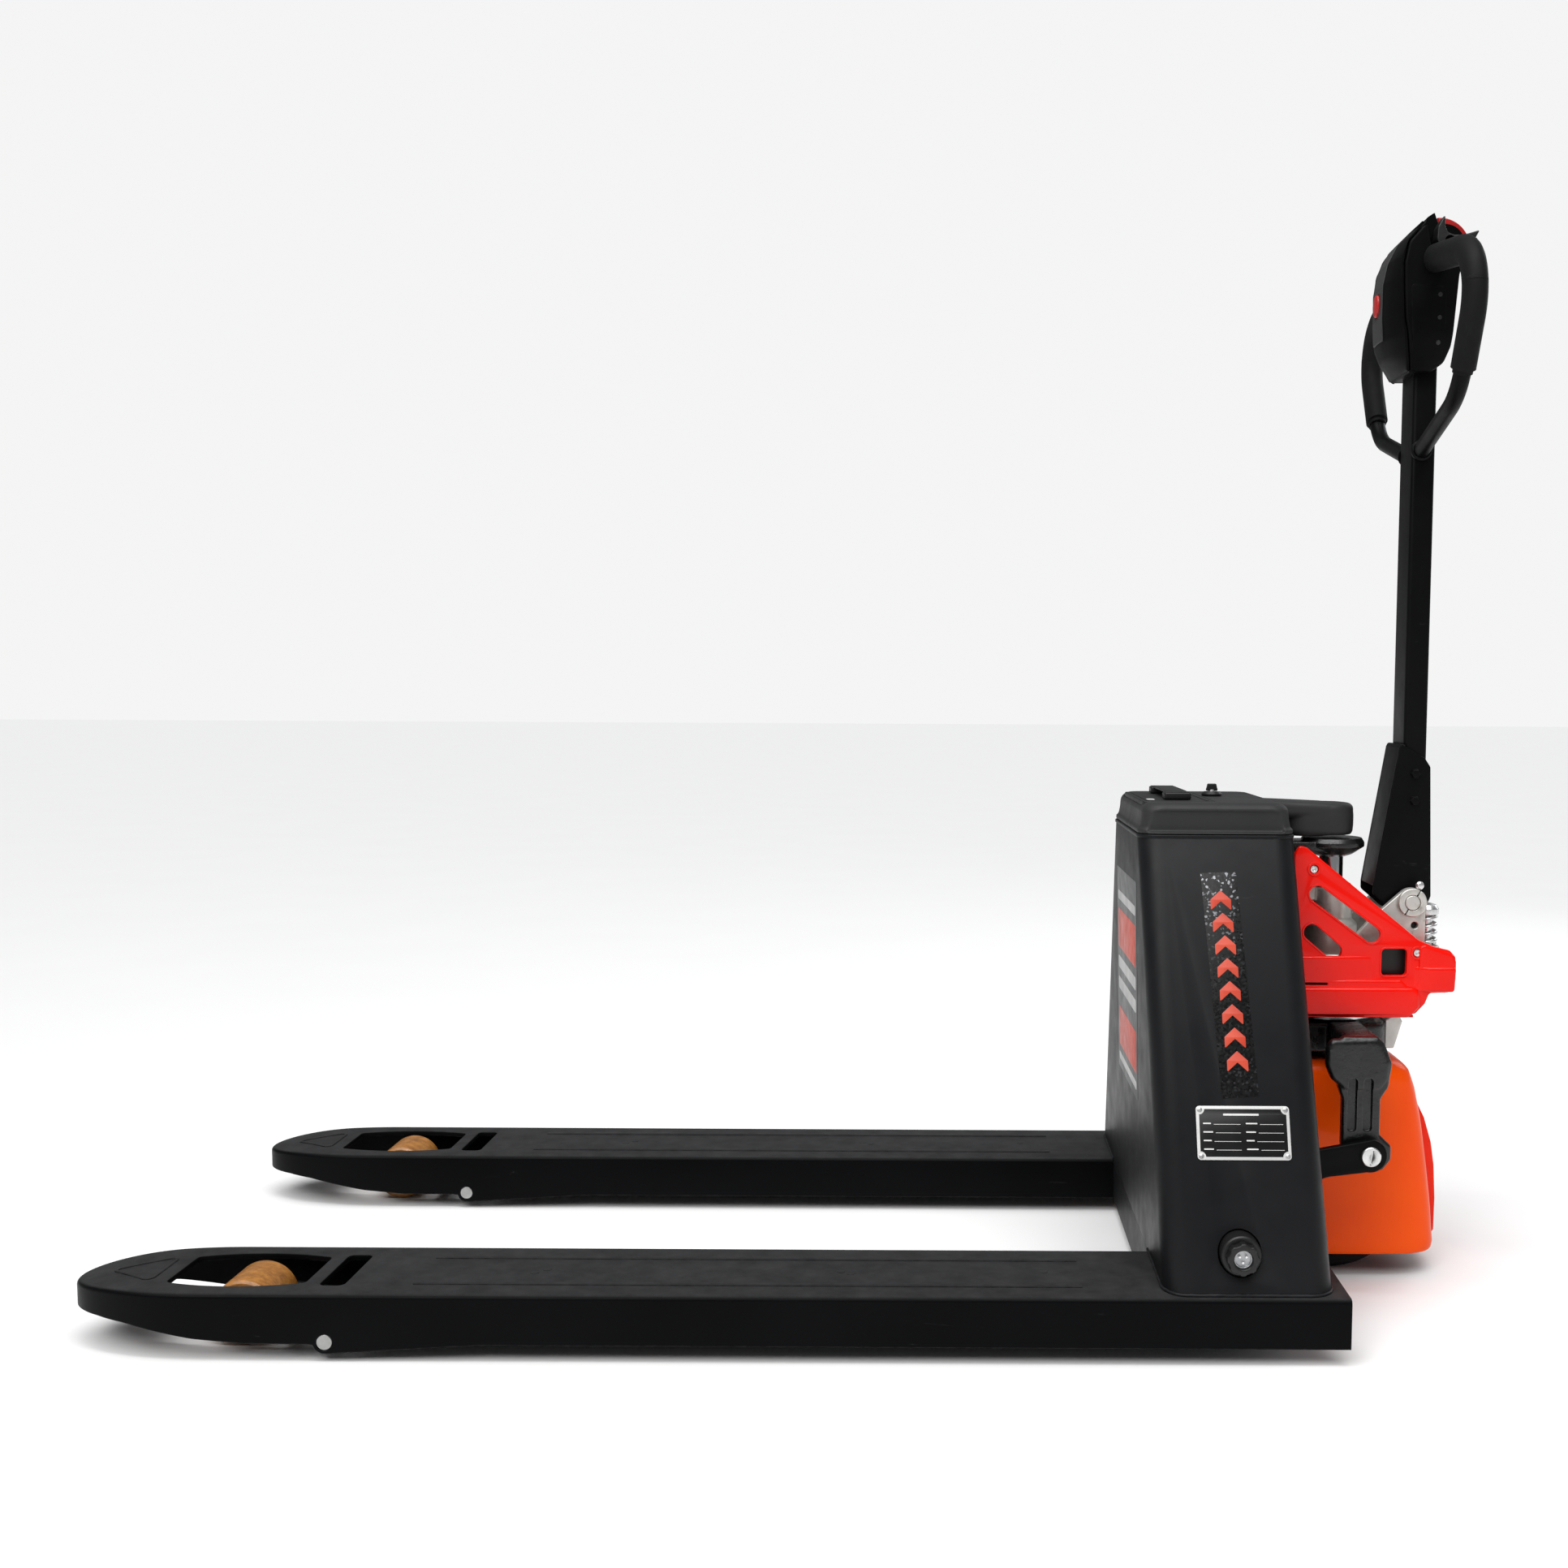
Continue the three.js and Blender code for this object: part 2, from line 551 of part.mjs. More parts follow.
// ---------------------------------------------------------------- drive unit
const driveBracket = cut(
  union(
    upright(roundedRect(-12, 110, -58, 58, 20), 252, 268, 2),
    post(STEER_X, 0, NECK_R, 260, 334.8, 24),
    block(18, 80, -56, -47, 78, 254),
    block(18, 80, 47, 56, 78, 254),
  ),
  crossBar(STEER_X, WHEEL.z, 12.8, -70, 70, 20),
);
steering.add(mesh('drive_bracket', driveBracket, 'frame'));
const axleProfile = [
  [0, -62], [18, -62], [18, -56 - GAP], [12, -56 - GAP], [12, 56 + GAP], [18, 56 + GAP], [18, 62], [0, 62],
];
steering.add(mesh('drive_axle', turned(axleProfile, STEER_X, WHEEL.z, 'y', 20), 'steel'));
const hubProfile = [
  [12 + GAP, -45], [60, -45], [66, -36], [WHEEL.rim - 0.5, -33], [WHEEL.rim - 0.5, 33], [66, 36], [60, 45], [12 + GAP, 45],
];
steering.add(mesh('hub_motor', turned(hubProfile, STEER_X, WHEEL.z, 'y', 20), 'alloy'));
const half = WHEEL.half;
const tyreProfile = [
  [WHEEL.rim, -half + 2], [WHEEL.rim + 4, -half], [WHEEL.r - 6, -half], [WHEEL.r, -half + 6],
  [WHEEL.r, half - 6], [WHEEL.r - 6, half], [WHEEL.rim + 4, half], [WHEEL.rim, half - 2],
];
steering.add(mesh('drive_tyre', turned(tyreProfile, STEER_X, WHEEL.z, 'y', 20), 'rubber'));

// Orange hood over the drive wheel
function hood(inset) {
  const centre = 56;
  const a = 126 - inset;
  const b = 70 - inset;
  const points = [];
  for (let i = 0; i < 32; i += 1) {
    const t = (i / 32) * Math.PI * 2;
    const bend = (v) => Math.sign(v) * Math.abs(v) ** (2 / 5);
    points.push([centre + a * bend(Math.cos(t)), b * bend(Math.sin(t))]);
  }
  const plan = upright(polygon(points), 30 - (inset ? OVER : 0), 274 - inset);
  const rear = [
    [177, 30], [182, 37], [179, 60], [177, 87], [170, 140], [162, 194], [153, 236], [143, 264], [132, 274],
  ];
  const side = polygon([
    [-70 + inset, 30 - (inset ? OVER : 0)],
    ...rear.map(([x, z], i) => [x - inset, i === 0 && inset ? z - OVER : Math.min(z, 274 - inset)]),
    [-40 + inset, 274 - inset],
    [-70 + inset, 240],
  ]);
  return plan.intersect(sideways(side, -90, 90));
}
const hoodBody = cut(hood(0), hood(3.5), post(STEER_X, 0, NECK_R + 2, 250, 300, 20));
steering.add(mesh('drive_hood', hoodBody, 'orange'));
const strip = sideways(polygon([
  [160, 212], [171, 192], [181, 160], [185, 130], [187.5, 87], [187, 44], [183, 40], [170, 40], [150, 130], [150, 212],
]), -22, 22).subtract(hood(-GAP));
steering.add(mesh('hood_strip', strip, 'red'));

// ---------------------------------------------------------------- pump
function ear(sign) {
  const y0 = Math.min(sign * EAR.inner, sign * EAR.outer);
  const y1 = Math.max(sign * EAR.inner, sign * EAR.outer);
  const s = new THREE.Shape();
  s.moveTo(62, 398);
  s.lineTo(157.5, 398);
  s.lineTo(157.5, TILLER.z);
  s.absarc(TILLER.x, TILLER.z, 18, 0, Math.PI * 0.72, false);
  s.lineTo(90, 452);
  s.lineTo(62, 420);
  addCircleHole(s, TILLER.x, TILLER.z, TILLER.pin + 3 * GAP);
  addCircleHole(s, 143.8, 443, 4.5);
  return sideways(s, y0, y1, 5);
}
const pumpBody = cut(
  union(
    upright(roundedRect(-14, 128, -62, 62, 18), 335.2, 362, 2),
    upright(roundedRect(2, 126, -50, 50, 12), 355, 402, 2),
    upright(roundedRect(96, 160, -25, 25, 10), 350, 396, 1),
    upright(roundedRect(130, PLUNGER.x, -16, 16, 6), 378, 405, 1),
    post(PLUNGER.x, 0, PLUNGER.boss, 352, PLUNGER.seat, 28),
    post(STEER_X, 0, 34, 395, 440, 36),
    post(STEER_X, 0, 27, 430, 488, 36),
    block(0, 30, -83.5, 83.5, 500, 507),
    block(12, 26, -20, 20, 470, 502),
    crossBar(SCREW.x, SCREW.z, 4.5, -79.7, -EAR.outer + 2, 12),
    crossBar(SCREW.x, SCREW.z, 4.5, EAR.outer - 2, 79.7, 12),
    ear(-1),
    ear(1),
  ),
  post(STEER_X, 0, RAM.r + GAP, 362, 520, 20),
  post(PLUNGER.x, 0, PLUNGER.rod + GAP, 368, 430, 20),
);
steering.add(mesh('pump_body', pumpBody, 'cast'));

// Plunger, pressed down by the tiller bracket, with its return spring
const plungerProfile = [
  [0, 396], [PLUNGER.rod, 396], [PLUNGER.rod, 452], [PLUNGER.cap, 452], [PLUNGER.cap, 459], [12, 464], [6, 466], [0, 466],
];
const plunger = turned(plungerProfile, 0, 0, 'y', 20).rotate([90, 0, 0]).translate([PLUNGER.x, 0, 0]);
steering.add(mesh('plunger', plunger, 'steel'));

class Helix extends THREE.Curve {
  getPoint(t, target = new THREE.Vector3()) {
    const turns = 4;
    const a = t * turns * Math.PI * 2;
    const bottom = PLUNGER.seat + 2.4;
    const top = 452 - 2.4;
    return target.set(PLUNGER.x + 12.4 * Math.cos(a), 12.4 * Math.sin(a), bottom + (top - bottom) * t);
  }
}
const wire = new THREE.Shape();
wire.absarc(0, 0, 1.9, 0, Math.PI * 2, false);
const coil = new THREE.ExtrudeGeometry(wire, { steps: 32, extrudePath: new Helix(), bevelEnabled: false, curveSegments: 2 });
steering.add(mesh('plunger_spring', solid(coil), 'steel'));

// ---------------------------------------------------------------- side covers
function coverSide(sign) {
  const skin = 3.5;
  const outline = polygon([
    [-20, 440], [-17, 536], [-11, 546], [-2, 544], [137, 431], [158, 422], [176, 418], [183, 410], [184, 394],
    [182, 374], [176, 366], [152, 365], [147, 352], [136, 340], [120, 334.8], [-38, 334.8], [-40, 430],
  ]);
  const bulge = roundedRect(-38, 141, 336, 371, 14);
  const rearBlock = roundedRect(142, 184, 365.5, 420, 10);
  const outer = union(
    sideways(outline, 80, 88),
    sideways(bulge, 66, 96, 2),
    sideways(rearBlock, 48, 90, 2),
  );
  const inner = union(
    block(-38 + skin, 141 - skin, 60, 96 - skin, 336 + skin, 371 - skin),
    block(100, 184 - skin, 20, 90 - skin, 365.5 + skin, 420 - skin),
    sideways(polygon([
      [-36, 372], [-36, 428], [-17, 436], [-14, 534], [-10, 541], [-4, 539], [134, 427], [134, 372],
    ]), 70, 88 - skin),
  );
  const slot = (a, b) => sideways(taperedBar(a, 10, b, 10), 60, 110, 4);
  const body = cut(
    outer,
    inner,
    slot({ x: 12, z: 487 }, { x: 80, z: 437 }),
    slot({ x: 6, z: 440 }, { x: 33, z: 417 }),
    sideways(roundedRect(92, 123, 387, 420, 4), 60, 110, 1),
    crossBar(7, 517.5, 3, 60, 110, 12),
    crossBar(SCREW.x, SCREW.z, 3, 60, 110, 12),
  );
  return sign > 0 ? body : body.mirror([0, 1, 0]);
}
for (const [side, sign] of sides) {
  steering.add(mesh(`side_cover_${side}`, coverSide(sign), 'red'));
}

// ---------------------------------------------------------------- tiller
const pinProfile = [
  [0, -52], [17, -52], [18, -50], [18, -EAR.outer - GAP], [TILLER.pin, -EAR.outer - GAP],
  [TILLER.pin, EAR.outer + GAP], [18, EAR.outer + GAP], [18, 50], [17, 52], [0, 52],
];
steering.add(mesh('tiller_pin', turned(pinProfile, TILLER.x, TILLER.z, 'y', 20), 'steel'));

const BRACKET_HALF = 31;
const bracketOuter = polygon([
  [167.8, 478], [163, 640.6], [155.6, 651.7], [125.5, 669.5], [123.3, 664.7], [95, 492], [95, 481], [122, 458], [138, 454], [160, 460],
]);
const bracketInner = polygon([
  [190, 440], [190, 690], [132, 690], [129.7, 664], [100, 490], [100, 440],
]);
const bracket = cut(
  sideways(bracketOuter, -BRACKET_HALF, BRACKET_HALF),
  sideways(bracketInner, -TUBE.half - GAP, TUBE.half + GAP),
  crossBar(TILLER.x, TILLER.z, TILLER.pin + GAP, -60, 60),
);
const presser = crossBar(160, 476, 8, -TUBE.half - 2, TUBE.half + 2, 20);
tiller.add(mesh('tiller_bracket', bracket.add(presser), 'frame'));

const section = (inset) => roundedRect(TUBE.front + inset, TUBE.rear - inset, -TUBE.half + inset, TUBE.half - inset, 4 - inset);
tiller.add(mesh(
  'tiller_tube',
  upright(section(0), TUBE.bottom, TUBE.top, 1).subtract(upright(section(TUBE.wall), 500, 1200, 1)),
  'frame',
));

// Handle loops in the plane of the tube: from the head side out, down and back to the tube
class LoopPath extends THREE.CurvePath {
  constructor(points, radii) {
    super();
    let from = points[0];
    for (let i = 1; i < points.length - 1; i += 1) {
      const here = points[i];
      const back = here.clone().sub(points[i - 1]).normalize();
      const ahead = points[i + 1].clone().sub(here).normalize();
      const a = here.clone().addScaledVector(back, -radii[i]);
      const b = here.clone().addScaledVector(ahead, radii[i]);
      this.add(new THREE.LineCurve3(from, a));
      this.add(new THREE.QuadraticBezierCurve3(a, here, b));
      from = b;
    }
    this.add(new THREE.LineCurve3(from, points[points.length - 1]));
  }
}
function sweep(points, radii, r, steps, sides2) {
  const path = new LoopPath(points, radii);
  const ring = new THREE.Shape();
  ring.absarc(0, 0, r, 0, Math.PI * 2, false);
  return solid(new THREE.ExtrudeGeometry(ring, { steps, extrudePath: path, bevelEnabled: false, curveSegments: sides2 }));
}
const loopPoint = (sign, y, z) => new THREE.Vector3(LOOP.x, sign * y, z);
for (const [side, sign] of sides) {
  const between = union(
    block(100, 200, -TUBE.half - GAP, TUBE.half + GAP, 900, 1100),
    block(100, 200, -HEAD_HALF - GAP, HEAD_HALF + GAP, 1150, 1300),
  );
  const whole = [
    loopPoint(sign, 56, 1253.5), loopPoint(sign, 206, 1228), loopPoint(sign, 216, 1168),
    loopPoint(sign, 166, 1072), loopPoint(sign, TUBE.half - 8, 1027.5),
  ];
  const tube = sweep(whole, [0, 46, 22, 34, 0], LOOP.tube, 16, 4).subtract(between);
  tiller.add(mesh(`loop_${side}`, tube, 'frame'));
  const padded = [
    loopPoint(sign, 56, 1253.5), loopPoint(sign, 206, 1228), loopPoint(sign, 216, 1168), loopPoint(sign, 178, 1095),
  ];
  const outer = sweep(padded, [0, 46, 22, 0], LOOP.grip, 12, 5);
  const inner = sweep(
    [loopPoint(sign, 40, 1256.2), ...whole.slice(1)], [0, 46, 22, 34, 0], LOOP.tube + 3.2, 16, 4);
  tiller.add(mesh(`grip_${side}`, cut(outer, inner, between), 'rubber'));
}

// Control head
const headFront = polygon([
  [126, 1122], [106, 1136], [94, 1160], [90, 1190], [90, 1222], [96, 1252], [108, 1282], [126, 1304], [146, 1318],
  [146, 1122],
]);
const HEAD_SPLIT = 116;
function headBody(inset) {
  const s = new THREE.Shape();
  s.moveTo(112 + inset, 1117 + inset);
  s.lineTo(150, 1117 + inset);
  s.lineTo(163 - inset, 1128 + inset);
  s.lineTo(181 - inset, 1148);
  s.lineTo(181 - inset, 1236);
  s.lineTo(197 - inset, 1262);
  s.absarc(BARREL.x, BARREL.z, BARREL.housing - inset, -0.25, Math.PI * 0.62, false);
  s.lineTo(126 + inset, 1302 - inset);
  s.lineTo(112 + inset, 1280);
  return s;
}
const throttleRoom = (y0, y1) => sideways(polygon([
  [136, 1262], [150, 1256], [181, 1254], [240, 1254], [240, 1380], [126, 1380], [126, 1290],
]), y0, y1);
const headSides = cut(
  sideways(headBody(0), -HEAD_HALF, HEAD_HALF, 6),
  block(60, HEAD_SPLIT + GAP, -80, 80, 1000, 1400),
  throttleRoom(BARREL.half + GAP, 90),
  throttleRoom(-90, -BARREL.half - GAP),
  sideways(headBody(3), -BARREL.half + 3, BARREL.half - 3, 6),
  sideways(polygon([[116, 1120], [150, 1120], [160, 1130], [178, 1150], [178, 1232], [150, 1240], [119, 1240]]), -HEAD_HALF + 3, HEAD_HALF - 3),
  upright(section(-GAP), 1000, 1160, 1),
  crossBar(BARREL.x, BARREL.z, BARREL.r + GAP, -70, 70, 24),
);
const HORN = { z: 1210, r: 11 };
const BELLY = { inner: 33, outer: 46, from: 0.42, to: 1.34, half: 20 };
function bellyShape(r0, r1, grow) {
  const s = new THREE.Shape();
  s.absarc(BARREL.x, BARREL.z, r1, BELLY.from - grow, BELLY.to + grow, false);
  s.absarc(BARREL.x, BARREL.z, r0, BELLY.to + grow, BELLY.from - grow, true);
  return s;
}
const bellyHole = sideways(bellyShape(24, 60, 0.075), -BELLY.half - GAP, BELLY.half + GAP, 5);
tiller.add(mesh('head_shell', headSides.subtract(bellyHole), 'plastic'));
tiller.add(mesh('belly_button', sideways(bellyShape(BELLY.inner, BELLY.outer, 0), -BELLY.half, BELLY.half, 5), 'button'));

const STRIP_HALF = 20;
const frontSolid = sideways(headFront, -HEAD_HALF + 2, HEAD_HALF - 2)
  .subtract(block(HEAD_SPLIT, 200, -80, 80, 1000, 1400));
const stripRoom = block(60, HEAD_SPLIT + 10, -STRIP_HALF, STRIP_HALF, 1140, 1400);
const frontBody = cut(
  frontSolid,
  stripRoom,
  block(108, 130, -52, 52, 1136, 1272),
);
tiller.add(mesh('head_front', frontBody, 'plastic'));
const stripBody = cut(
  frontSolid.intersect(block(60, HEAD_SPLIT - GAP, -STRIP_HALF + GAP, STRIP_HALF - GAP, 1140 + GAP, 1400)),
  block(104, 130, -18, 18, 1150, 1268),
  solid(new THREE.CylinderGeometry(HORN.r + GAP, HORN.r + GAP, 60, 24).rotateZ(Math.PI / 2).translate(96, 0, HORN.z)),
);
tiller.add(mesh('head_strip', stripBody, 'grey'));
const horn = solid(new THREE.CylinderGeometry(HORN.r, HORN.r, 14, 24).rotateZ(Math.PI / 2).translate(93, 0, HORN.z));
tiller.add(mesh('horn_button', horn, 'button'));

// Throttle: two winged rockers on one shaft through the head
function wing(y0, y1) {
  const s = polygon([
    [150.3, 1305], [162, 1292], [176, 1288], [194.5, 1286.5], [186, 1270], [172, 1262], [160, 1260.5], [148, 1264], [143, 1276], [144, 1290],
  ]);
  return sideways(s, y0, y1);
}
const throttle = union(
  crossBar(BARREL.x, BARREL.z, 8, -HEAD_HALF + 1, HEAD_HALF - 1, 20),
  wing(BARREL.half + 2 * GAP, HEAD_HALF),
  wing(-HEAD_HALF, -BARREL.half - 2 * GAP),
);
tiller.add(mesh('throttle', throttle, 'plastic'));

export default truck;
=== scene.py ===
"""Looks of the electric pallet truck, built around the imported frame.

Shapes are drawn in millimetres with x = 0 at the rear end of the fork frame, z = 0 on the floor
and the left side of the truck at -y. `place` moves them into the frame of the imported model.
"""
import math
import random

import bmesh
import bpy
from mathutils import Matrix, Vector


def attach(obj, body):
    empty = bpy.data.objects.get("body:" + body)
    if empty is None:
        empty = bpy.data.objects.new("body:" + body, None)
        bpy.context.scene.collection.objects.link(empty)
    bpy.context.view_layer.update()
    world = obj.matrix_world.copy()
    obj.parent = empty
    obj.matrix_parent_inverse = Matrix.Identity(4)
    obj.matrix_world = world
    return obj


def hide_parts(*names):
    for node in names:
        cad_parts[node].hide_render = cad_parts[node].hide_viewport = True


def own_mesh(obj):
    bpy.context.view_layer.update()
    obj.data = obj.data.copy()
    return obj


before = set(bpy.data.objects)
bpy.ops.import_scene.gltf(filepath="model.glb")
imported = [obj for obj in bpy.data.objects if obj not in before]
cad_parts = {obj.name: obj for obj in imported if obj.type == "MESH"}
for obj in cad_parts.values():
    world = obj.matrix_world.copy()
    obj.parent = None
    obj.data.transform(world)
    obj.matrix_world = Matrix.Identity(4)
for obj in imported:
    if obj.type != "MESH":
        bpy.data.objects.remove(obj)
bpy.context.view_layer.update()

random.seed(7)

SHIFT = 609.75                 # mm between x = 0 here and x = 0 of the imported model
MM = 0.001
SIDES = (("left", -1), ("right", 1))
SMOOTH = math.radians(32)       # edges bent by more than this are shaded sharp
SMOOTH_CAST = math.radians(50)  # the same for cast and moulded bodies


def place(x, y, z):
    return Vector(((x + SHIFT) * MM, y * MM, z * MM))


def add_object(name, data):
    """A new object in the scene that shows data."""
    thing = bpy.data.objects.new(name, data)
    bpy.context.scene.collection.objects.link(thing)
    return thing


# ---------------------------------------------------------------- camera
CAMERA_PLACE = (0.15855, -2.0398, 0.726)
CAMERA_YAW, CAMERA_PITCH, CAMERA_ROLL = 0.0008, -0.0793, 0.0048
LENS, LENS_SHIFT = 36.92, (-0.0979, 0.0254)


def make_camera():
    data = bpy.data.cameras.new("camera")
    data.sensor_width = 36
    data.lens = LENS
    data.shift_x, data.shift_y = LENS_SHIFT
    data.clip_end = 200
    camera = add_object("camera", data)
    cy, sy = math.cos(CAMERA_YAW), math.sin(CAMERA_YAW)
    cp, sp = math.cos(CAMERA_PITCH), math.sin(CAMERA_PITCH)
    cr, sr = math.cos(CAMERA_ROLL), math.sin(CAMERA_ROLL)
    forward = Vector((-sy * cp, cy * cp, sp))
    right = Vector((cy, sy, 0))
    up = right.cross(forward)
    rolled_right = right * cr + up * sr
    rolled_up = up * cr - right * sr
    turn = Matrix((rolled_right, rolled_up, -forward)).transposed().to_4x4()
    camera.matrix_world = Matrix.Translation(CAMERA_PLACE) @ turn
    bpy.context.scene.camera = camera


make_camera()


# ---------------------------------------------------------------- materials
class Nodes:
    """Short way to write a material's node tree."""

    def __init__(self, name):
        self.material = bpy.data.materials.new(name)
        self.material.use_nodes = True
        self.tree = self.material.node_tree
        self.tree.nodes.clear()
        self.out = self.add("ShaderNodeOutputMaterial")
        self.shader = self.add("ShaderNodeBsdfPrincipled")
        self.link(self.shader.outputs[0], self.out.inputs[0])
        self.coord = self.add("ShaderNodeTexCoord").outputs["Object"]

    def add(self, kind, **values):
        node = self.tree.nodes.new(kind)
        for key, value in values.items():
            setattr(node, key, value)
        return node

    def link(self, a, b):
        self.tree.links.new(a, b)

    def noise(self, scale, detail=3.0, rough=0.5, stretch=None, distortion=0.0):
        node = self.add("ShaderNodeTexNoise")
        node.inputs["Scale"].default_value = scale
        node.inputs["Detail"].default_value = detail
        node.inputs["Roughness"].default_value = rough
        node.inputs["Distortion"].default_value = distortion
        if stretch:
            mapping = self.add("ShaderNodeMapping")
            mapping.inputs["Scale"].default_value = stretch
            self.link(self.coord, mapping.inputs[0])
            self.link(mapping.outputs[0], node.inputs["Vector"])
        else:
            self.link(self.coord, node.inputs["Vector"])
        return node.outputs["Fac"]

    def ramp(self, source, low, high, a, b):
        """Maps source from low..high to a..b, clamped."""
        node = self.add("ShaderNodeMapRange")
        self.link(source, node.inputs["Value"])
        for key, value in (("From Min", low), ("From Max", high), ("To Min", a), ("To Max", b)):
            node.inputs[key].default_value = value
        return node.outputs["Result"]

    def mix(self, factor, a, b):
        node = self.add("ShaderNodeMix", data_type="RGBA")
        self.link(factor, node.inputs[0])
        for socket, colour in ((node.inputs[6], a), (node.inputs[7], b)):
            if isinstance(colour, tuple):
                socket.default_value = (*colour, 1)
            else:
                self.link(colour, socket)
        return node.outputs[2]

    def math(self, kind, a, b):
        node = self.add("ShaderNodeMath", operation=kind)
        for socket, value in zip(node.inputs, (a, b)):
            if isinstance(value, (int, float)):
                socket.default_value = value
            else:
                self.link(value, socket)
        return node.outputs[0]

    def bump(self, height, distance, strength=1.0, below=None):
        node = self.add("ShaderNodeBump")
        node.inputs["Distance"].default_value = distance
        node.inputs["Strength"].default_value = strength
        self.link(height, node.inputs["Height"])
        if below:
            self.link(below, node.inputs["Normal"])
        return node.outputs[0]

    def edges(self, radius):
        """About 1 on sharp edges and 0 on flat faces."""
        soft = self.add("ShaderNodeBevel", samples=4)
        soft.inputs["Radius"].default_value = radius
        true = self.add("ShaderNodeNewGeometry")
        dot = self.add("ShaderNodeVectorMath", operation="DOT_PRODUCT")
        self.link(soft.outputs[0], dot.inputs[0])
        self.link(true.outputs["Normal"], dot.inputs[1])
        return self.ramp(dot.outputs["Value"], 0.995, 0.90, 0.0, 1.0)

    def finish(self, colour, rough, normal=None, metal=0.0, specular=0.5, coat=0.0, coat_rough=0.1):
        self.link(colour, self.shader.inputs["Base Color"])
        self.link(rough, self.shader.inputs["Roughness"])
        if normal:
            self.link(normal, self.shader.inputs["Normal"])
        self.shader.inputs["Metallic"].default_value = metal
        self.shader.inputs["Specular IOR Level"].default_value = specular
        self.shader.inputs["Coat Weight"].default_value = coat
        self.shader.inputs["Coat Roughness"].default_value = coat_rough
        return self.material


def powder_coat(name, dark, light, rough, specular=0.4, worn=(0.045, 0.046, 0.050), top_light_and_dust=0.0):
    """Satin powder coat: fine orange peel, scuffs, rubbed edges, and level faces made paler, partly by dust
    and partly by painted light from above.
    """
    n = Nodes(name)
    patches = n.ramp(n.noise(5, 4), 0.35, 0.7, 0, 1)
    colour = n.mix(patches, dark, light)
    scuffs = n.math("MULTIPLY", n.ramp(n.noise(60, 6, 0.7, (0.25, 1, 1.6), 1.5), 0.66, 0.74, 0, 0.5),
                    n.ramp(n.noise(7, 2), 0.5, 0.62, 0, 1))
    colour = n.mix(scuffs, colour, worn)
    rub = n.math("MULTIPLY", n.edges(0.0012), n.ramp(n.noise(90, 4), 0.42, 0.62, 0, 0.55))
    colour = n.mix(rub, colour, worn)
    # Painted light: faces that look upwards get a paler colour, standing partly for dust and partly for the
    # light falling on them from above.
    if top_light_and_dust:
        level = n.add("ShaderNodeSeparateXYZ")
        n.link(n.add("ShaderNodeNewGeometry").outputs["Normal"], level.inputs[0])
        top_light_and_dust_mask = n.math("MULTIPLY", n.ramp(level.outputs["Z"], 0.75, 0.99, 0, 1),
                       n.ramp(n.noise(35, 6, 0.7), 0.3, 0.7, 0.55, 1))
        colour = n.mix(top_light_and_dust_mask, colour, (top_light_and_dust, top_light_and_dust, top_light_and_dust * 1.03))
    roughness = n.ramp(n.noise(22, 5, 0.6), 0.3, 0.75, rough - 0.06, rough + 0.09)
    normal = n.bump(n.noise(1100, 2), 0.00006, 0.7)
    normal = n.bump(n.noise(9, 2), 0.0006, 0.35, normal)
    return n.finish(colour, roughness, normal, specular=specular)


def moulded(name, dark, light, rough, grain=2400, depth=0.00006, specular=0.4, coat=0.0):
    """Moulded plastic with a fine spark-eroded grain."""
    n = Nodes(name)
    colour = n.mix(n.ramp(n.noise(9, 3), 0.35, 0.7, 0, 1), dark, light)
    rub = n.math("MULTIPLY", n.edges(0.0010), n.ramp(n.noise(70, 4), 0.45, 0.65, 0, 0.3))
    colour = n.mix(rub, colour, tuple(min(1.0, c * 2.2 + 0.02) for c in light))
    roughness = n.ramp(n.noise(30, 5, 0.6), 0.3, 0.75, rough - 0.05, rough + 0.08)
    normal = n.bump(n.noise(grain, 2), depth, 0.6)
    return n.finish(colour, roughness, normal, specular=specular, coat=coat)


def metal(name, dark, light, rough, scale=40, stretch=None, depth=0.00005, grain=700, stain=None,
          metallic=1.0):
    """Machined or cast metal with brushed streaks or a cast grain, and stains in patches."""
    n = Nodes(name)
    colour = n.mix(n.ramp(n.noise(scale, 5, 0.6, stretch), 0.3, 0.7, 0, 1), dark, light)
    if stain:
        spots = n.ramp(n.noise(38, 6, 0.65, None, 1.0), 0.56, 0.72, 0, 0.7)
        colour = n.mix(spots, colour, stain)
    roughness = n.ramp(n.noise(scale * 1.5, 4, 0.6, stretch), 0.3, 0.7, rough - 0.07, rough + 0.1)
    normal = n.bump(n.noise(grain, 3, 0.6, stretch), depth, 0.7)
    return n.finish(colour, roughness, normal, metal=metallic)


frame_paint = powder_coat("black_powder_coat", (0.0044, 0.0048, 0.0056), (0.0070, 0.0074, 0.0084), 0.46, 0.20)
# Painted shade: the forks wear the frame's black powder coat, but this copy is darker, standing for the shade
# on their upright sides.
fork_paint_with_shade = powder_coat("black_fork_paint_with_shade", (0.0012, 0.0013, 0.0016), (0.0022, 0.0024, 0.0028), 0.42,
                         0.06, top_light_and_dust=0.034)
arm_paint = powder_coat("black_arm_paint", (0.0014, 0.0015, 0.0016), (0.0026, 0.0027, 0.0029), 0.42, 0.09)
lid_plastic = moulded("lid_plastic", (0.0150, 0.0153, 0.0157), (0.0215, 0.0218, 0.0222), 0.58, 1500,
                      0.00009, 0.35)
head_plastic = moulded("head_plastic", (0.0012, 0.0013, 0.0014), (0.0024, 0.0025, 0.0027), 0.46, 1700,
                       0.00007, 0.06)
trim_plastic = moulded("grey_trim", (0.024, 0.0245, 0.025), (0.034, 0.0345, 0.035), 0.55, 1200, 0.00007, 0.3)
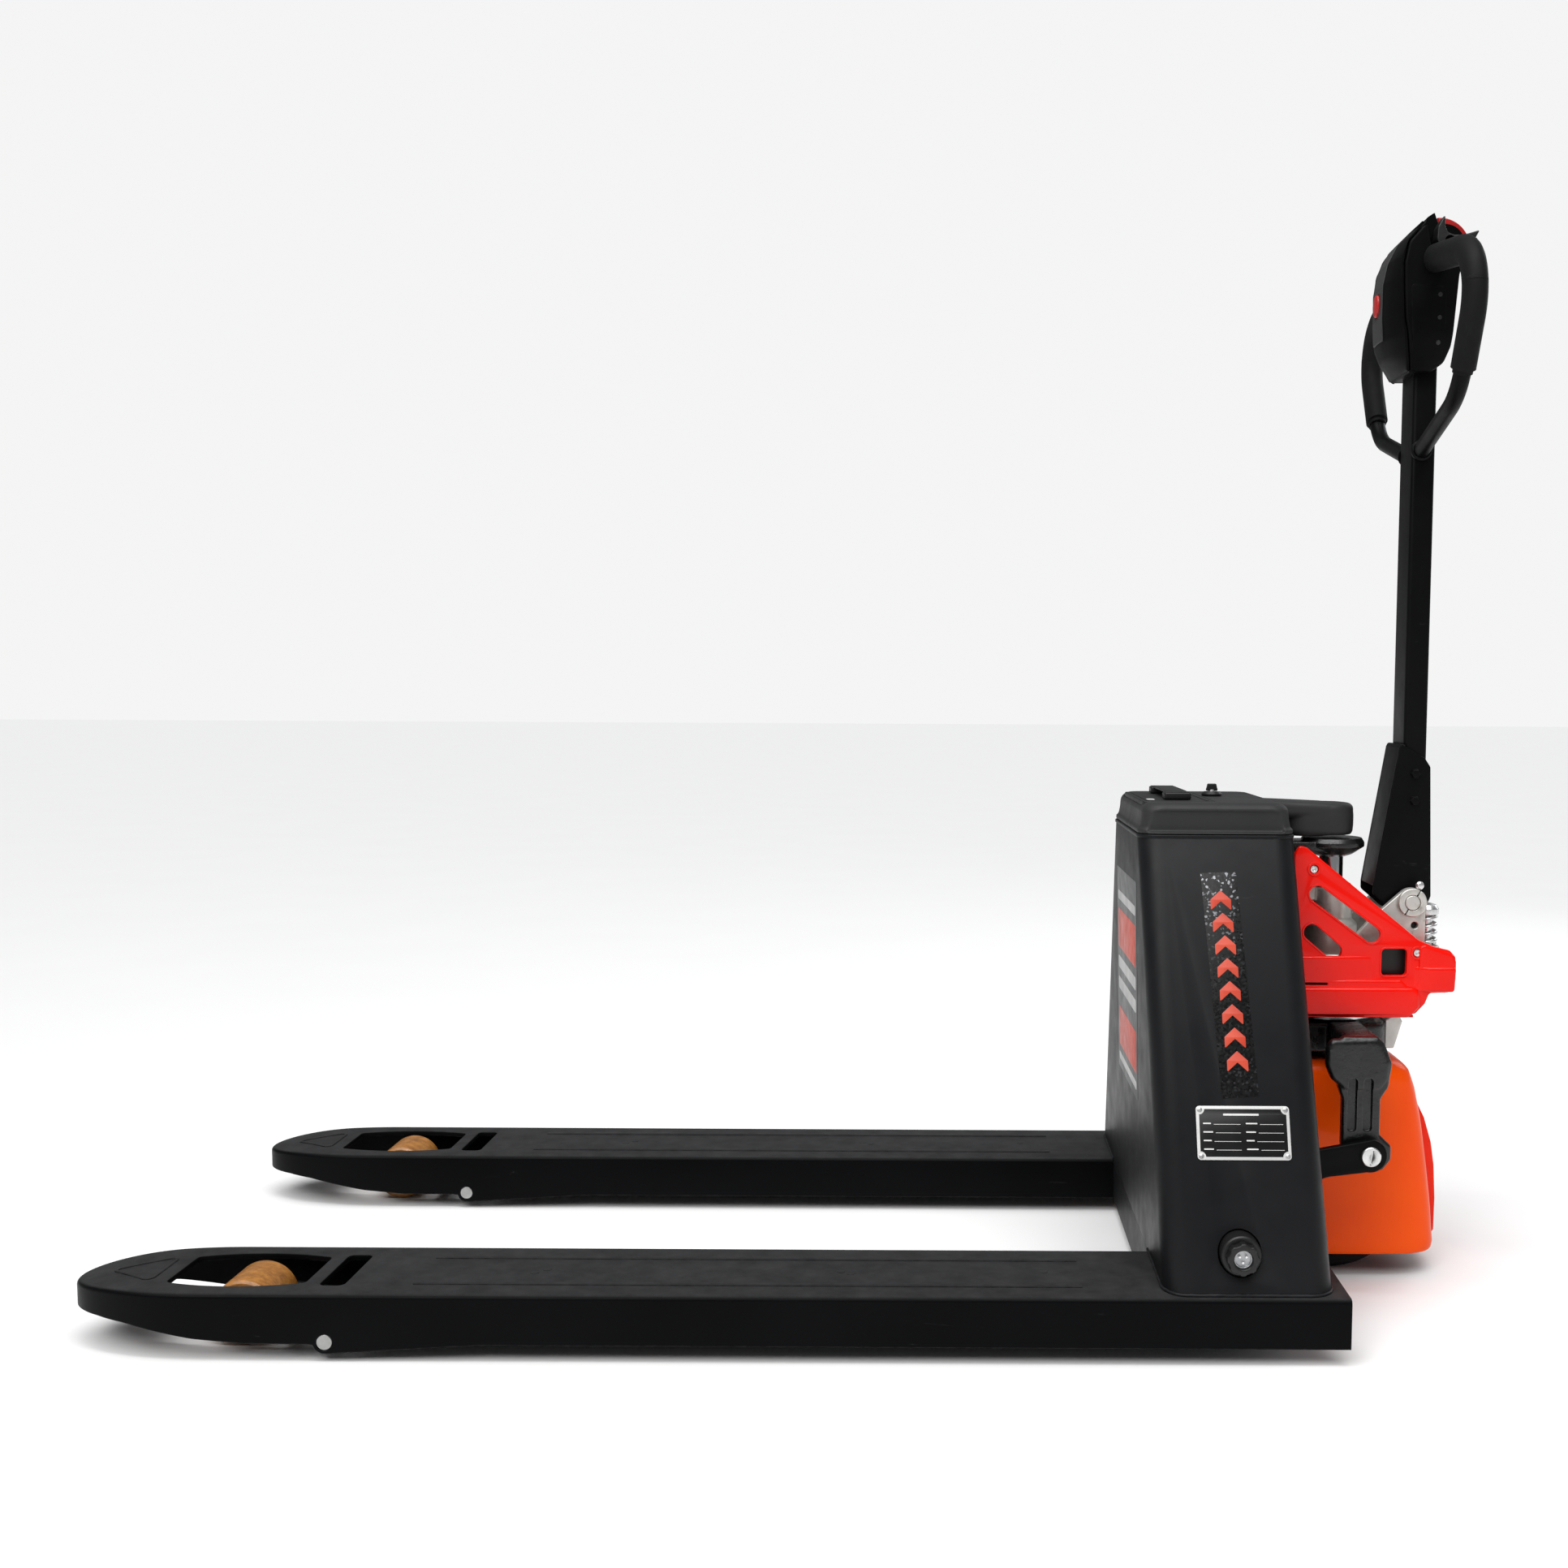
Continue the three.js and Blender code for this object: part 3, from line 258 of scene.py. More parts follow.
black_plastic = moulded("black_plastic", (0.005, 0.005, 0.0052), (0.009, 0.009, 0.0092), 0.42)
dark_gloss = moulded("plate_black", (0.004, 0.004, 0.0042), (0.007, 0.007, 0.0074), 0.3, 600, 0.00002)
white_print = moulded("plate_white", (0.62, 0.62, 0.61), (0.72, 0.72, 0.71), 0.5, 500, 0.00002)
red_plastic = moulded("red_plastic", (0.80, 0.0040, 0.0003), (0.88, 0.0060, 0.0005), 0.30, 260, 0.00001,
                      0.06, 0.42)
orange_plastic = moulded("orange_plastic", (0.95, 0.078, 0.0004), (1.0, 0.100, 0.0006), 0.34, 420, 0.00004,
                         0.06, 0.16)
strip_plastic = moulded("strip_plastic", (0.78, 0.016, 0.0004), (0.86, 0.024, 0.0006), 0.30, 420, 0.00004,
                        0.06, 0.2)
button_plastic = moulded("button_red", (0.34, 0.006, 0.006), (0.44, 0.010, 0.009), 0.36, 900, 0.00004, 0.3,
                         0.2)
case_plastic = moulded("battery_case", (0.0105, 0.0108, 0.0112), (0.0150, 0.0153, 0.0157), 0.6, 1300,
                       0.00008, 0.35)
zinc = metal("zinc_cast", (0.50, 0.49, 0.46), (0.68, 0.67, 0.63), 0.42, 30, None, 0.00012, 420,
             (0.20, 0.15, 0.10), 0.75)
steel = metal("bright_steel", (0.60, 0.60, 0.60), (0.78, 0.78, 0.77), 0.30, 90, (1, 0.12, 1), 0.00003, 900)
pin_steel = metal("pin_steel", (0.34, 0.34, 0.33), (0.46, 0.46, 0.45), 0.36, 90, (1, 0.12, 1), 0.00003, 900)
chrome = metal("chrome", (0.72, 0.72, 0.73), (0.82, 0.82, 0.83), 0.14, 60, (1, 1, 0.1), 0.00001, 900)
alloy = metal("motor_alloy", (0.36, 0.37, 0.38), (0.50, 0.51, 0.52), 0.42, 30, None, 0.00008, 500,
              (0.10, 0.09, 0.08))
foil = metal("plate_silver", (0.66, 0.66, 0.65), (0.76, 0.76, 0.75), 0.34, 40, (0.15, 1, 1), 0.00002, 800,
             None, 0.3)


def cast_iron():
    """Thickly painted black casting: glossy, with the lumps of the sand mould under the paint."""
    n = Nodes("black_cast")
    patches = n.ramp(n.noise(14, 4), 0.35, 0.7, 0, 1)
    colour = n.mix(patches, (0.0032, 0.0032, 0.0034), (0.0070, 0.0070, 0.0073))
    rub = n.math("MULTIPLY", n.edges(0.0015), n.ramp(n.noise(80, 4), 0.40, 0.60, 0, 0.6))
    colour = n.mix(rub, colour, (0.10, 0.10, 0.10))
    roughness = n.ramp(n.noise(45, 4), 0.3, 0.7, 0.20, 0.36)
    normal = n.bump(n.noise(130, 3, 0.55), 0.0010, 0.6)
    normal = n.bump(n.noise(460, 3, 0.6), 0.00035, 0.6, normal)
    return n.finish(colour, roughness, normal, specular=0.5)


def polyurethane():
    """Amber tread with turned streaks round it, and grime pressed into it."""
    n = Nodes("polyurethane")
    streaks = n.noise(75, 8, 0.74, (1, 1.5, 1), 0.4)
    colour = n.mix(n.ramp(streaks, 0.3, 0.7, 0, 1), (0.17, 0.056, 0.009), (0.50, 0.215, 0.040))
    grime = n.ramp(n.noise(70, 6, 0.7), 0.56, 0.74, 0, 0.65)
    colour = n.mix(grime, colour, (0.10, 0.045, 0.016))
    roughness = n.ramp(n.noise(40, 4), 0.3, 0.7, 0.30, 0.50)
    n.shader.inputs["Subsurface Weight"].default_value = 0.12
    n.shader.inputs["Subsurface Radius"].default_value = (0.006, 0.003, 0.001)
    return n.finish(colour, roughness, n.bump(n.noise(380, 3, 0.6, (1, 3, 1)), 0.00018, 0.6), coat=0.15)


def rubber(name, dark, light, rough, grain, depth):
    """Rubber or foam, dull, with a pitted skin."""
    n = Nodes(name)
    colour = n.mix(n.ramp(n.noise(16, 5), 0.35, 0.7, 0, 1), dark, light)
    cells = n.add("ShaderNodeTexVoronoi")
    cells.inputs["Scale"].default_value = grain
    n.link(n.coord, cells.inputs["Vector"])
    normal = n.bump(n.ramp(cells.outputs["Distance"], 0.0, 0.6, 0, 1), depth, 0.6)
    normal = n.bump(n.noise(grain * 0.4, 4, 0.6), depth * 1.5, 0.5, normal)
    roughness = n.ramp(n.noise(40, 4), 0.3, 0.7, rough - 0.06, rough + 0.08)
    return n.finish(colour, roughness, normal, specular=0.15)


def glitter():
    """Black sticker film full of small flakes; their glints are painted into the base colour as bright
    specks, more of them towards the top.
    """
    n = Nodes("sticker_glitter")
    cells = n.add("ShaderNodeTexVoronoi")
    cells.inputs["Scale"].default_value = 420
    n.link(n.coord, cells.inputs["Vector"])
    split = n.add("ShaderNodeSeparateColor")
    n.link(cells.outputs["Color"], split.inputs[0])
    flake = n.ramp(split.outputs[0], 0.86, 0.91, 0, 1)
    height = n.add("ShaderNodeSeparateXYZ")
    n.link(n.coord, height.inputs[0])
    # Painted glints: the flakes' sparkle is put into the colour as bright specks, and they crowd towards the
    # top of the film.
    top_glint_share = n.ramp(height.outputs["Z"], 0.42, 0.53, 0.05, 1)
    glint_density = n.math("MULTIPLY", n.ramp(n.noise(26, 3), 0.40, 0.62, 0.25, 1), top_glint_share)
    colour = n.mix(n.math("MULTIPLY", flake, glint_density), (0.0022, 0.0022, 0.0026), (0.46, 0.47, 0.50))
    roughness = n.ramp(split.outputs[1], 0, 1, 0.22, 0.5)
    return n.finish(colour, roughness, n.bump(split.outputs[2], 0.00012, 0.35), specular=0.3)


def printed(name, dark, light, rough=0.45):
    """Printed vinyl film: slightly mottled ink, a little scratched."""
    n = Nodes(name)
    colour = n.mix(n.ramp(n.noise(24, 4), 0.35, 0.7, 0, 1), dark, light)
    scratch = n.ramp(n.noise(90, 6, 0.7, (1, 0.2, 1.4), 1.0), 0.66, 0.74, 0, 0.35)
    colour = n.mix(scratch, colour, tuple(c * 0.55 for c in dark))
    roughness = n.ramp(n.noise(50, 4), 0.3, 0.7, rough - 0.08, rough + 0.1)
    return n.finish(colour, roughness, n.bump(n.noise(500, 2), 0.00002))


cast_black = cast_iron()
amber = polyurethane()
tyre_rubber = rubber("wheel_rubber", (0.011, 0.011, 0.011), (0.020, 0.0195, 0.019), 0.78, 700, 0.00012)
foam = rubber("foam", (0.0034, 0.0035, 0.0037), (0.0062, 0.0063, 0.0066), 0.66, 900, 0.00014)
sticker = glitter()
print_red = printed("print_red", (0.50, 0.045, 0.020), (0.62, 0.075, 0.035))
print_grey = printed("print_grey", (0.090, 0.092, 0.094), (0.125, 0.127, 0.130), 0.5)
print_white = printed("print_white", (0.42, 0.42, 0.42), (0.55, 0.55, 0.54))


# ---------------------------------------------------------------- outlines, in two coordinates
def fillet(points, radii, steps=6):
    """Closed outline with every corner rounded by its radius. radii is one number or a list."""
    count = len(points)
    if isinstance(radii, (int, float)):
        radii = [radii] * count
    out = []
    for i, (u, v) in enumerate(points):
        here = Vector((u, v))
        back = Vector(points[i - 1]) - here
        ahead = Vector(points[(i + 1) % count]) - here
        turn = back.angle(ahead) if back.length > 1e-6 and ahead.length > 1e-6 else math.pi
        if radii[i] <= 0 or turn > math.radians(178):
            out.append((u, v))
            continue
        reach = min(radii[i] / math.tan(turn / 2), back.length * 0.49, ahead.length * 0.49)
        radius = reach * math.tan(turn / 2)
        a = here + back.normalized() * reach
        b = here + ahead.normalized() * reach
        middle = here + (back.normalized() + ahead.normalized()).normalized() * (radius / math.sin(turn / 2))
        start = math.atan2(a.y - middle.y, a.x - middle.x)
        sweep = math.atan2(b.y - middle.y, b.x - middle.x) - start
        sweep = (sweep + math.pi) % (2 * math.pi) - math.pi
        for k in range(steps + 1):
            angle = start + sweep * k / steps
            out.append((middle.x + radius * math.cos(angle), middle.y + radius * math.sin(angle)))
    return out


def rect(u0, u1, v0, v1, r=0.0, steps=6):
    points = [(u0, v0), (u1, v0), (u1, v1), (u0, v1)]
    return fillet(points, r, steps) if r else points


def circle(u, v, r, count=40):
    return [(u + r * math.cos(2 * math.pi * i / count), v + r * math.sin(2 * math.pi * i / count))
            for i in range(count)]


def bar(a, ra, b, rb, count=18):
    """Outline of a bar with a round end of its own radius at each of two centres."""
    along = math.atan2(b[1] - a[1], b[0] - a[0])
    spread = math.acos(max(-1, min(1, (ra - rb) / math.dist(a, b))))
    out = []
    for middle, r, start, stop in ((a, ra, along + spread, along - spread + 2 * math.pi),
                                   (b, rb, along - spread, along + spread)):
        for k in range(count + 1):
            angle = start + (stop - start) * k / count
            out.append((middle[0] + r * math.cos(angle), middle[1] + r * math.sin(angle)))
    return out


def arc(u, v, r, start, stop, count=12):
    angles = [start + (stop - start) * k / count for k in range(count + 1)]
    return [(u + r * math.cos(a), v + r * math.sin(a)) for a in angles]


def between(table, at):
    """Value at a place in a table of (place, value), level beyond both ends."""
    for (a, low), (b, high) in zip(table, table[1:]):
        if at <= b:
            return low + (high - low) * max(0, at - a) / (b - a)
    return table[-1][1]


def grown(loop, amount):
    """Convex loop moved outwards by amount."""
    cx = sum(p[0] for p in loop) / len(loop)
    cy = sum(p[1] for p in loop) / len(loop)
    out = []
    for i, (x, y) in enumerate(loop):
        before, after = loop[i - 1], loop[(i + 1) % len(loop)]
        n = Vector((after[1] - before[1], -(after[0] - before[0])))
        n = n.normalized() if n.length > 1e-6 else Vector((0, 0))
        if n.dot(Vector((x - cx, y - cy))) < 0:
            n = -n
        out.append((x + n.x * amount, y + n.y * amount))
    return out


def span(side, a, b):
    """Low and high end of a..b on one side of the middle; side is -1 or 1."""
    return sorted((side * a, side * b))


def centre(at, y=0):
    """3-D point above a point (x, z) of a side view."""
    return at[0], y, at[1]


# ---------------------------------------------------------------- solids
def shade(mesh, angle=SMOOTH):
    for polygon in mesh.polygons:
        polygon.use_smooth = True
    mesh.set_sharp_from_angle(angle=angle)


def from_bmesh(name, bm, material):
    bmesh.ops.remove_doubles(bm, verts=bm.verts, dist=1e-7)
    bmesh.ops.recalc_face_normals(bm, faces=bm.faces)
    mesh = bpy.data.meshes.new(name)
    bm.to_mesh(mesh)
    bm.free()
    shade(mesh)
    if material:
        mesh.materials.append(material)
    return add_object(name, mesh)


def swept(name, dimensions, loops, closed, **settings):
    """Mesh data of a bevelled curve through loops of 3-D points in metres."""
    curve = bpy.data.curves.new(name, "CURVE")
    curve.dimensions = dimensions
    for key, value in settings.items():
        setattr(curve, key, value)
    for loop in loops:
        spline = curve.splines.new("POLY")
        spline.points.add(len(loop) - 1)
        for point, co in zip(spline.points, loop):
            point.co = (*co, 1)
        spline.use_cyclic_u = closed
    holder = add_object(name + "_curve", curve)
    mesh = bpy.data.meshes.new_from_object(holder.evaluated_get(bpy.context.evaluated_depsgraph_get()))
    bpy.data.objects.remove(holder)
    bm = bmesh.new()
    bm.from_mesh(mesh)
    return bm


# Where a plate's outline (u, v) and its thickness w lie
AXES = {"x": lambda u, v, w: place(w, u, v),
        "y": lambda u, v, w: place(u, w, v),
        "z": lambda u, v, w: place(u, v, w)}


def plate(name, loops, axis, low, high, material, edge=0.8, bevels=2):
    """Flat piece cut from sheet: first loop is the outline, the others are holes. Edges are rounded."""
    edge = min(edge, (high - low) * 0.49)
    loops = [[(u * MM, v * MM, 0) for u, v in loop] for loop in loops]
    bm = swept(name, "2D", loops, True, fill_mode="BOTH", extrude=((high - low) / 2 - edge) * MM,
               bevel_depth=edge * MM, bevel_resolution=bevels, offset=-edge * MM)
    for vertex in bm.verts:
        u, v, w = vertex.co / MM
        vertex.co = AXES[axis](u, v, w + (low + high) / 2)
    return from_bmesh(name, bm, material)


def tool(loop, axis, low, high, edge=0.01, bevels=2):
    """Plate that is only there to be cut away from another piece."""
    return plate("tool", [loop], axis, low, high, None, edge, bevels)


def lathe(name, profile, at, axis, material, count=64, edge=1.0):
    """Turned piece. profile is a closed list of (radius, height along the axis)."""
    outline = fillet(profile, [edge if r > 0.01 else 0 for r, _ in profile], 3)
    bm = bmesh.new()
    rings = []
    for k in range(count):
        angle = 2 * math.pi * k / count
        c, s = math.cos(angle), math.sin(angle)
        ring = []
        for r, h in outline:
            around = (r * c, r * s, h) if axis == "z" else (r * c, h, r * s)
            ring.append(bm.verts.new(place(*(a + b for a, b in zip(at, around)))))
        rings.append(ring)
    for k in range(count):
        a, b = rings[k], rings[(k + 1) % count]
        for i in range(len(outline)):
            j = (i + 1) % len(outline)
            if outline[i][0] > 0.01 or outline[j][0] > 0.01:
                bm.faces.new((a[i], a[j], b[j], b[i]))
    return from_bmesh(name, bm, material)


def pillar(name, radius, low, high, at, material, count=24, edge=0.5, axis="y"):
    """Plain turned cylinder."""
    profile = [(0, low), (radius, low), (radius, high), (0, high)]
    return lathe(name, profile, at, axis, material, count, edge)


def loft(name, rings, material, caps=True):
    """Skin through closed rings of 3-D points in millimetres, all with the same count."""
    bm = bmesh.new()
    made = [[bm.verts.new(place(*p)) for p in ring] for ring in rings]
    count = len(rings[0])
    for a, b in zip(made, made[1:]):
        for i in range(count):
            j = (i + 1) % count
            bm.faces.new((a[i], a[j], b[j], b[i]))
    if caps:
        bm.faces.new(list(reversed(made[0])))
        bm.faces.new(made[-1])
    return from_bmesh(name, bm, material)


def tube(name, points, radius, material, resolution=8, closed=False):
    """Round bar along points in millimetres, with closed ends."""
    bm = swept(name, "3D", [[place(*p) for p in points]], closed, bevel_depth=radius * MM,
               bevel_resolution=resolution, use_fill_caps=True)
    return from_bmesh(name, bm, material)


def smooth_path(points, radii, steps=10):
    """3-D path through points, each corner replaced by a curve that starts radii[i] before it."""
    points = [Vector(p) for p in points]
    out = [points[0]]
    for i in range(1, len(points) - 1):
        here = points[i]
        a = here + (points[i - 1] - here).normalized() * radii[i]
        b = here + (points[i + 1] - here).normalized() * radii[i]
        for k in range(steps + 1):
            t = k / steps
            out.append(a * (1 - t) ** 2 + here * 2 * t * (1 - t) + b * t ** 2)
    out.append(points[-1])
    return out


def resample(points, step):
    """The same path with points at an even distance apart."""
    out = [points[0]]
    left = step
    for a, b in zip(points, points[1:]):
        length = (b - a).length
        at = 0.0
        while length - at >= left:
            at += left
            out.append(a.lerp(b, at / length))
            left = step
        left -= length - at
    out.append(points[-1])
    return out


def join(name, *pieces):
    """Several meshes of one physical piece as one object; materials are kept."""
    bm = bmesh.new()
    materials = []
    for piece in pieces:
        start = len(bm.faces)
        bm.from_mesh(piece.data)
        bm.faces.ensure_lookup_table()
        slots = list(piece.data.materials)
        for material in slots:
            if material not in materials:
                materials.append(material)
        for face in bm.faces[start:]:
            face.material_index = materials.index(slots[face.material_index])
    mesh = bpy.data.meshes.new(name)
    bm.to_mesh(mesh)
    bm.free()
    for piece in pieces:
        bpy.data.objects.remove(piece)
    for material in materials:
        mesh.materials.append(material)
    return add_object(name, mesh)


def apply_modifiers(piece):
    bpy.context.view_layer.update()
    graph = bpy.context.evaluated_depsgraph_get()
    mesh = bpy.data.meshes.new_from_object(piece.evaluated_get(graph), depsgraph=graph)
    piece.modifiers.clear()
    piece.data = mesh
    return piece


def cut(piece, *tools):
    """Takes the tools away from piece; they are used up."""
    for shape in tools:
        modifier = piece.modifiers.new("cut", "BOOLEAN")
        modifier.operation = "DIFFERENCE"
        modifier.solver = "EXACT"
        modifier.object = shape
        apply_modifiers(piece)
        bpy.data.objects.remove(shape)
    return piece


def blended(piece, voxel, rounds, keep=1.0):
    """One cast or moulded body: overlapping solids become one skin with soft inner and outer corners."""
    remesh = piece.modifiers.new("skin", "REMESH")
    remesh.mode = "VOXEL"
    remesh.voxel_size = voxel * MM
    soften = piece.modifiers.new("soften", "SMOOTH")
    soften.factor = 0.5
    soften.iterations = rounds
    if keep < 1:
        thin = piece.modifiers.new("thin", "DECIMATE")
        thin.ratio = keep
    material = piece.data.materials[0]
    apply_modifiers(piece)
    piece.data.materials.clear()
    piece.data.materials.append(material)
    for polygon in piece.data.polygons:
        polygon.use_smooth = True
        polygon.material_index = 0
    return piece


def softened(piece, width, segments=2):
    """Small rounding on every sharp edge, left after boolean cuts."""
    bevel = piece.modifiers.new("edges", "BEVEL")
    bevel.width = width * MM
    bevel.segments = segments
    bevel.limit_method = "ANGLE"
    bevel.angle_limit = math.radians(35)
    apply_modifiers(piece)
    shade(piece.data)
    return piece


def crisp(piece):
    """Shading of a cast or moulded body after it has been cut."""
    shade(piece.data, SMOOTH_CAST)
    return piece


def bent(piece, axis, places, shape):
    """Cuts the mesh across axis at each place, then moves every vertex by shape(x, y, z) in millimetres."""
    bm = bmesh.new()
    bm.from_mesh(piece.data)
    normal = Vector((axis == "x", axis == "y", axis == "z"))
    for at in places:
        bmesh.ops.bisect_plane(bm, geom=bm.verts[:] + bm.edges[:] + bm.faces[:], dist=1e-7,
                               plane_co=place(*(normal * at)), plane_no=normal)
    for vertex in bm.verts:
        x, y, z = vertex.co / MM
        vertex.co = place(*shape(x - SHIFT, y, z))
    bm.to_mesh(piece.data)
    bm.free()
    piece.data.set_sharp_from_angle(angle=SMOOTH)
    return piece


def put(piece, body, slot, *nodes):
    """piece rides on body and stands for the named CAD nodes; slot is not used."""
    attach(piece, body)
    if nodes:
        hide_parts(*nodes)
    return piece


def dress(node, material):
    """A CAD node whose shape is right keeps it, and gets its material."""
    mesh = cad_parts[node].data
    mesh.materials.clear()
    mesh.materials.append(material)


# ---------------------------------------------------------------- forks
FORK_HALF = 78.25
FORK_CENTRE = 264.25
FORK_TIP, NOSE_START = -1420, -1250
FORK_TOP, SHEET_LOW = 75, 69
TOP_ROUND = 5.5
PIVOT, PIVOT_BOSS = (-1117, 22), 13
BOSS_FRONT, BOSS_REAR = -1129.6, -1115.8
NOSE_UNDERSIDE = ((-1500, 42), (-1376, 42), (-1340, 39), (-1302, 32), (-1262, 25), (-1205, 20), (-1136, 19.6),
                  (BOSS_FRONT, 18.8))
REAR_UNDERSIDE = ((BOSS_REAR, 9.05), (-950, 19.2))
DROOP_START, DROOP, DROOP_LOW = -1330, 6, 44
BEAD = 41                        # from the middle of the fork to each pressed bead


def fork_bottom(x):
    """Height of the lower edge of the fork's side walls; it goes round the roller bracket's pin."""
    if BOSS_FRONT < x <= BOSS_REAR:
        return PIVOT[1] - math.sqrt(PIVOT_BOSS ** 2 - (x - PIVOT[0]) ** 2)
    return between(NOSE_UNDERSIDE if x <= BOSS_FRONT else REAR_UNDERSIDE, x)


def droop(x, y, z):
    """The top of the fork falls towards the tip; the lower edge stays."""
    reach = max(0, (DROOP_START - x) / (DROOP_START - FORK_TIP))
    return x, y, z - DROOP * reach ** 1.8 * max(0, min(1, (z - DROOP_LOW) / (FORK_TOP - DROOP_LOW)))


def fork_plan(inset):
    """Plan of the fork from its rear left corner round the nose to the rear right corner."""
    half = FORK_HALF - inset
    straight = [0, -40, -120, -200, -400, -600, -800, -950, -1000, -1050, -1090, -1105, -1112]
    straight += [BOSS_REAR, -1119, -1122, -1125, -1127.5, BOSS_FRONT, -1136, -1160, -1205, -1230]
    left = [(x, -half) for x in straight]
    steps = 40
    for i in range(steps + 1):
        a = i / steps * math.pi / 2
        reach = math.sin(a) ** (2 / 2.3)
        left.append((NOSE_START + (FORK_TIP + inset - NOSE_START) * reach, -half * math.cos(a)))
    return left + [(x, -y) for x, y in reversed(left[:-1])]


def roller_window():
    """Opening over the load roller: bowed sides and four round corners."""
    right = []
    for a, c, b in (((-1151, 40), (-1190, 52), (-1228, 52)), ((-1228, 52), (-1266, 52), (-1305, 40))):
        for k in range(9):
            t = k / 8
            right.append(tuple(a[i] * (1 - t) ** 2 + c[i] * 2 * t * (1 - t) + b[i] * t ** 2 for i in (0, 1)))
    outline = right[:9] + right[10:]
    whole = outline + [(x, -y) for x, y in reversed(outline)]
    corners = (0, len(outline) - 1, len(outline), len(whole) - 1)
    return fillet(whole, [9 if i in corners else 0 for i in range(len(whole))], 5)


def fill_between(bm, loops):
    edges = []
    for loop in loops:
        for i, vertex in enumerate(loop):
            other = loop[(i + 1) % len(loop)]
            edges.append(bm.edges.get((vertex, other)) or bm.edges.new((vertex, other)))
    bmesh.ops.triangle_fill(bm, use_beauty=True, use_dissolve=False, edges=edges)


def make_fork(name, side_y):
    """Open channel with a rounded top edge, the roller window, a slot and the room for the lift foot."""
    bm = bmesh.new()
    profile = [(5.0, SHEET_LOW), (5.0, "b"), (0.9, "b"), (0.0, "b+")]
    steps = 6
    for k in range(steps + 1):
        a = k / steps * math.pi / 2
        profile.append((TOP_ROUND * (1 - math.cos(a)), FORK_TOP - TOP_ROUND * (1 - math.sin(a))))
    rings = []
    outer = fork_plan(0)
    for inset, level in profile:
        ring = []
        for (x, y), (x0, _) in zip(fork_plan(inset), outer):
            z = {"b": fork_bottom(x0), "b+": fork_bottom(x0) + 0.9}.get(level, level)
            ring.append(bm.verts.new(place(x, y + side_y, z)))
        rings.append(ring)
    for a, b in zip(rings, rings[1:]):
        for i in range(len(a) - 1):
            bm.faces.new((a[i], a[i + 1], b[i + 1], b[i]))
    bm.faces.new([ring[0] for ring in reversed(rings)])
    bm.faces.new([ring[-1] for ring in rings])
    top_loops, low_loops = [rings[-1]], [rings[0]]
    for loop in (roller_window(), rect(-1133, -1106, -48, 48, 7), rect(-136, -52, -20, 20, 5)):
        stack = []
        for grow, z in ((1.6, FORK_TOP), (0.6, 74.6), (0.0, 73.6), (0.0, SHEET_LOW)):
            stack.append([bm.verts.new(place(x, y + side_y, z)) for x, y in grown(loop, grow)])
        for a, b in zip(stack, stack[1:]):
            for i in range(len(a)):
                j = (i + 1) % len(a)
                bm.faces.new((a[i], a[j], b[j], b[i]))
        top_loops.append(stack[0])
        low_loops.append(stack[-1])
    fill_between(bm, top_loops)
    fill_between(bm, low_loops)
    return from_bmesh(name, bm, fork_paint_with_shade)


def flat_tube(name, points, radius, height, closed=False):
    """Pressed bead: a round bar along the points, flattened and half sunk into the fork's top."""
    piece = tube(name, points, radius, fork_paint_with_shade, 4, closed)
    middle = FORK_TOP * MM
    for vertex in piece.data.vertices:
        vertex.co.z = middle + (vertex.co.z - middle) * height / radius
    return piece


for side, sign in SIDES:
    y = sign * FORK_CENTRE
    parts = [cut(make_fork("fork", y), pillar("hole", 9.3, -85, 85, centre(PIVOT, y), None, 40, 0))]
    for offset in (-BEAD, BEAD):
        line = [(x, y + offset, FORK_TOP) for x in range(-1030, -289, 20)]
        parts.append(flat_tube("bead", line, 4.5, 1.7))
    for x, offset in ((-905, -6), (-893, 4), (-560, 2), (-548, -4), (-330, 5)):
        spot = [(0, -0.4), (5, -0.4), (5, 0.25), (0, 0.5)]
        parts.append(lathe("spot", spot, (x, y + offset, FORK_TOP), "z", fork_paint_with_shade, 20, 0.2))
    corner = fillet([(-1385, 0), (-1325, -38), (-1325, 38)], 6, 5)
    parts.append(flat_tube("nose_mark", [(u, y + v, FORK_TOP) for u, v in corner], 2.4, 1.3, True))
    shell = bent(join(f"fork_{side}_shell", *parts), "x", range(DROOP_START, FORK_TIP, -8), droop)
    put(shell, "fork_frame", "black_powder_coat", f"fork_{side}")
    profile = [(0, -78), (8.2, -78), (9, -77), (9, 77), (8.2, 78), (0, 78)]
    pin = lathe(f"fork_pin_{side}_turned", profile, centre(PIVOT, y), "y", pin_steel, 40, 0.4)
    put(pin, "fork_frame", "bright_steel", f"fork_pin_{side}")
dress("cross_plate", frame_paint)


# ---------------------------------------------------------------- load rollers and fork linkage
AXLE = (-1224, 37)
LINK_ANGLE, LINK_REACH = math.radians(38), 36
LINK = (PIVOT[0] + LINK_REACH * math.sin(LINK_ANGLE), PIVOT[1] + LINK_REACH * math.cos(LINK_ANGLE))
SHAFT = (-95, 120)
YOKE_PIN = (62, 185)
FOOT_ANGLE, FOOT_REACH = math.radians(19.8), 66.2
FOOT = (SHAFT[0] + FOOT_REACH * math.sin(FOOT_ANGLE), SHAFT[1] - FOOT_REACH * math.cos(FOOT_ANGLE))

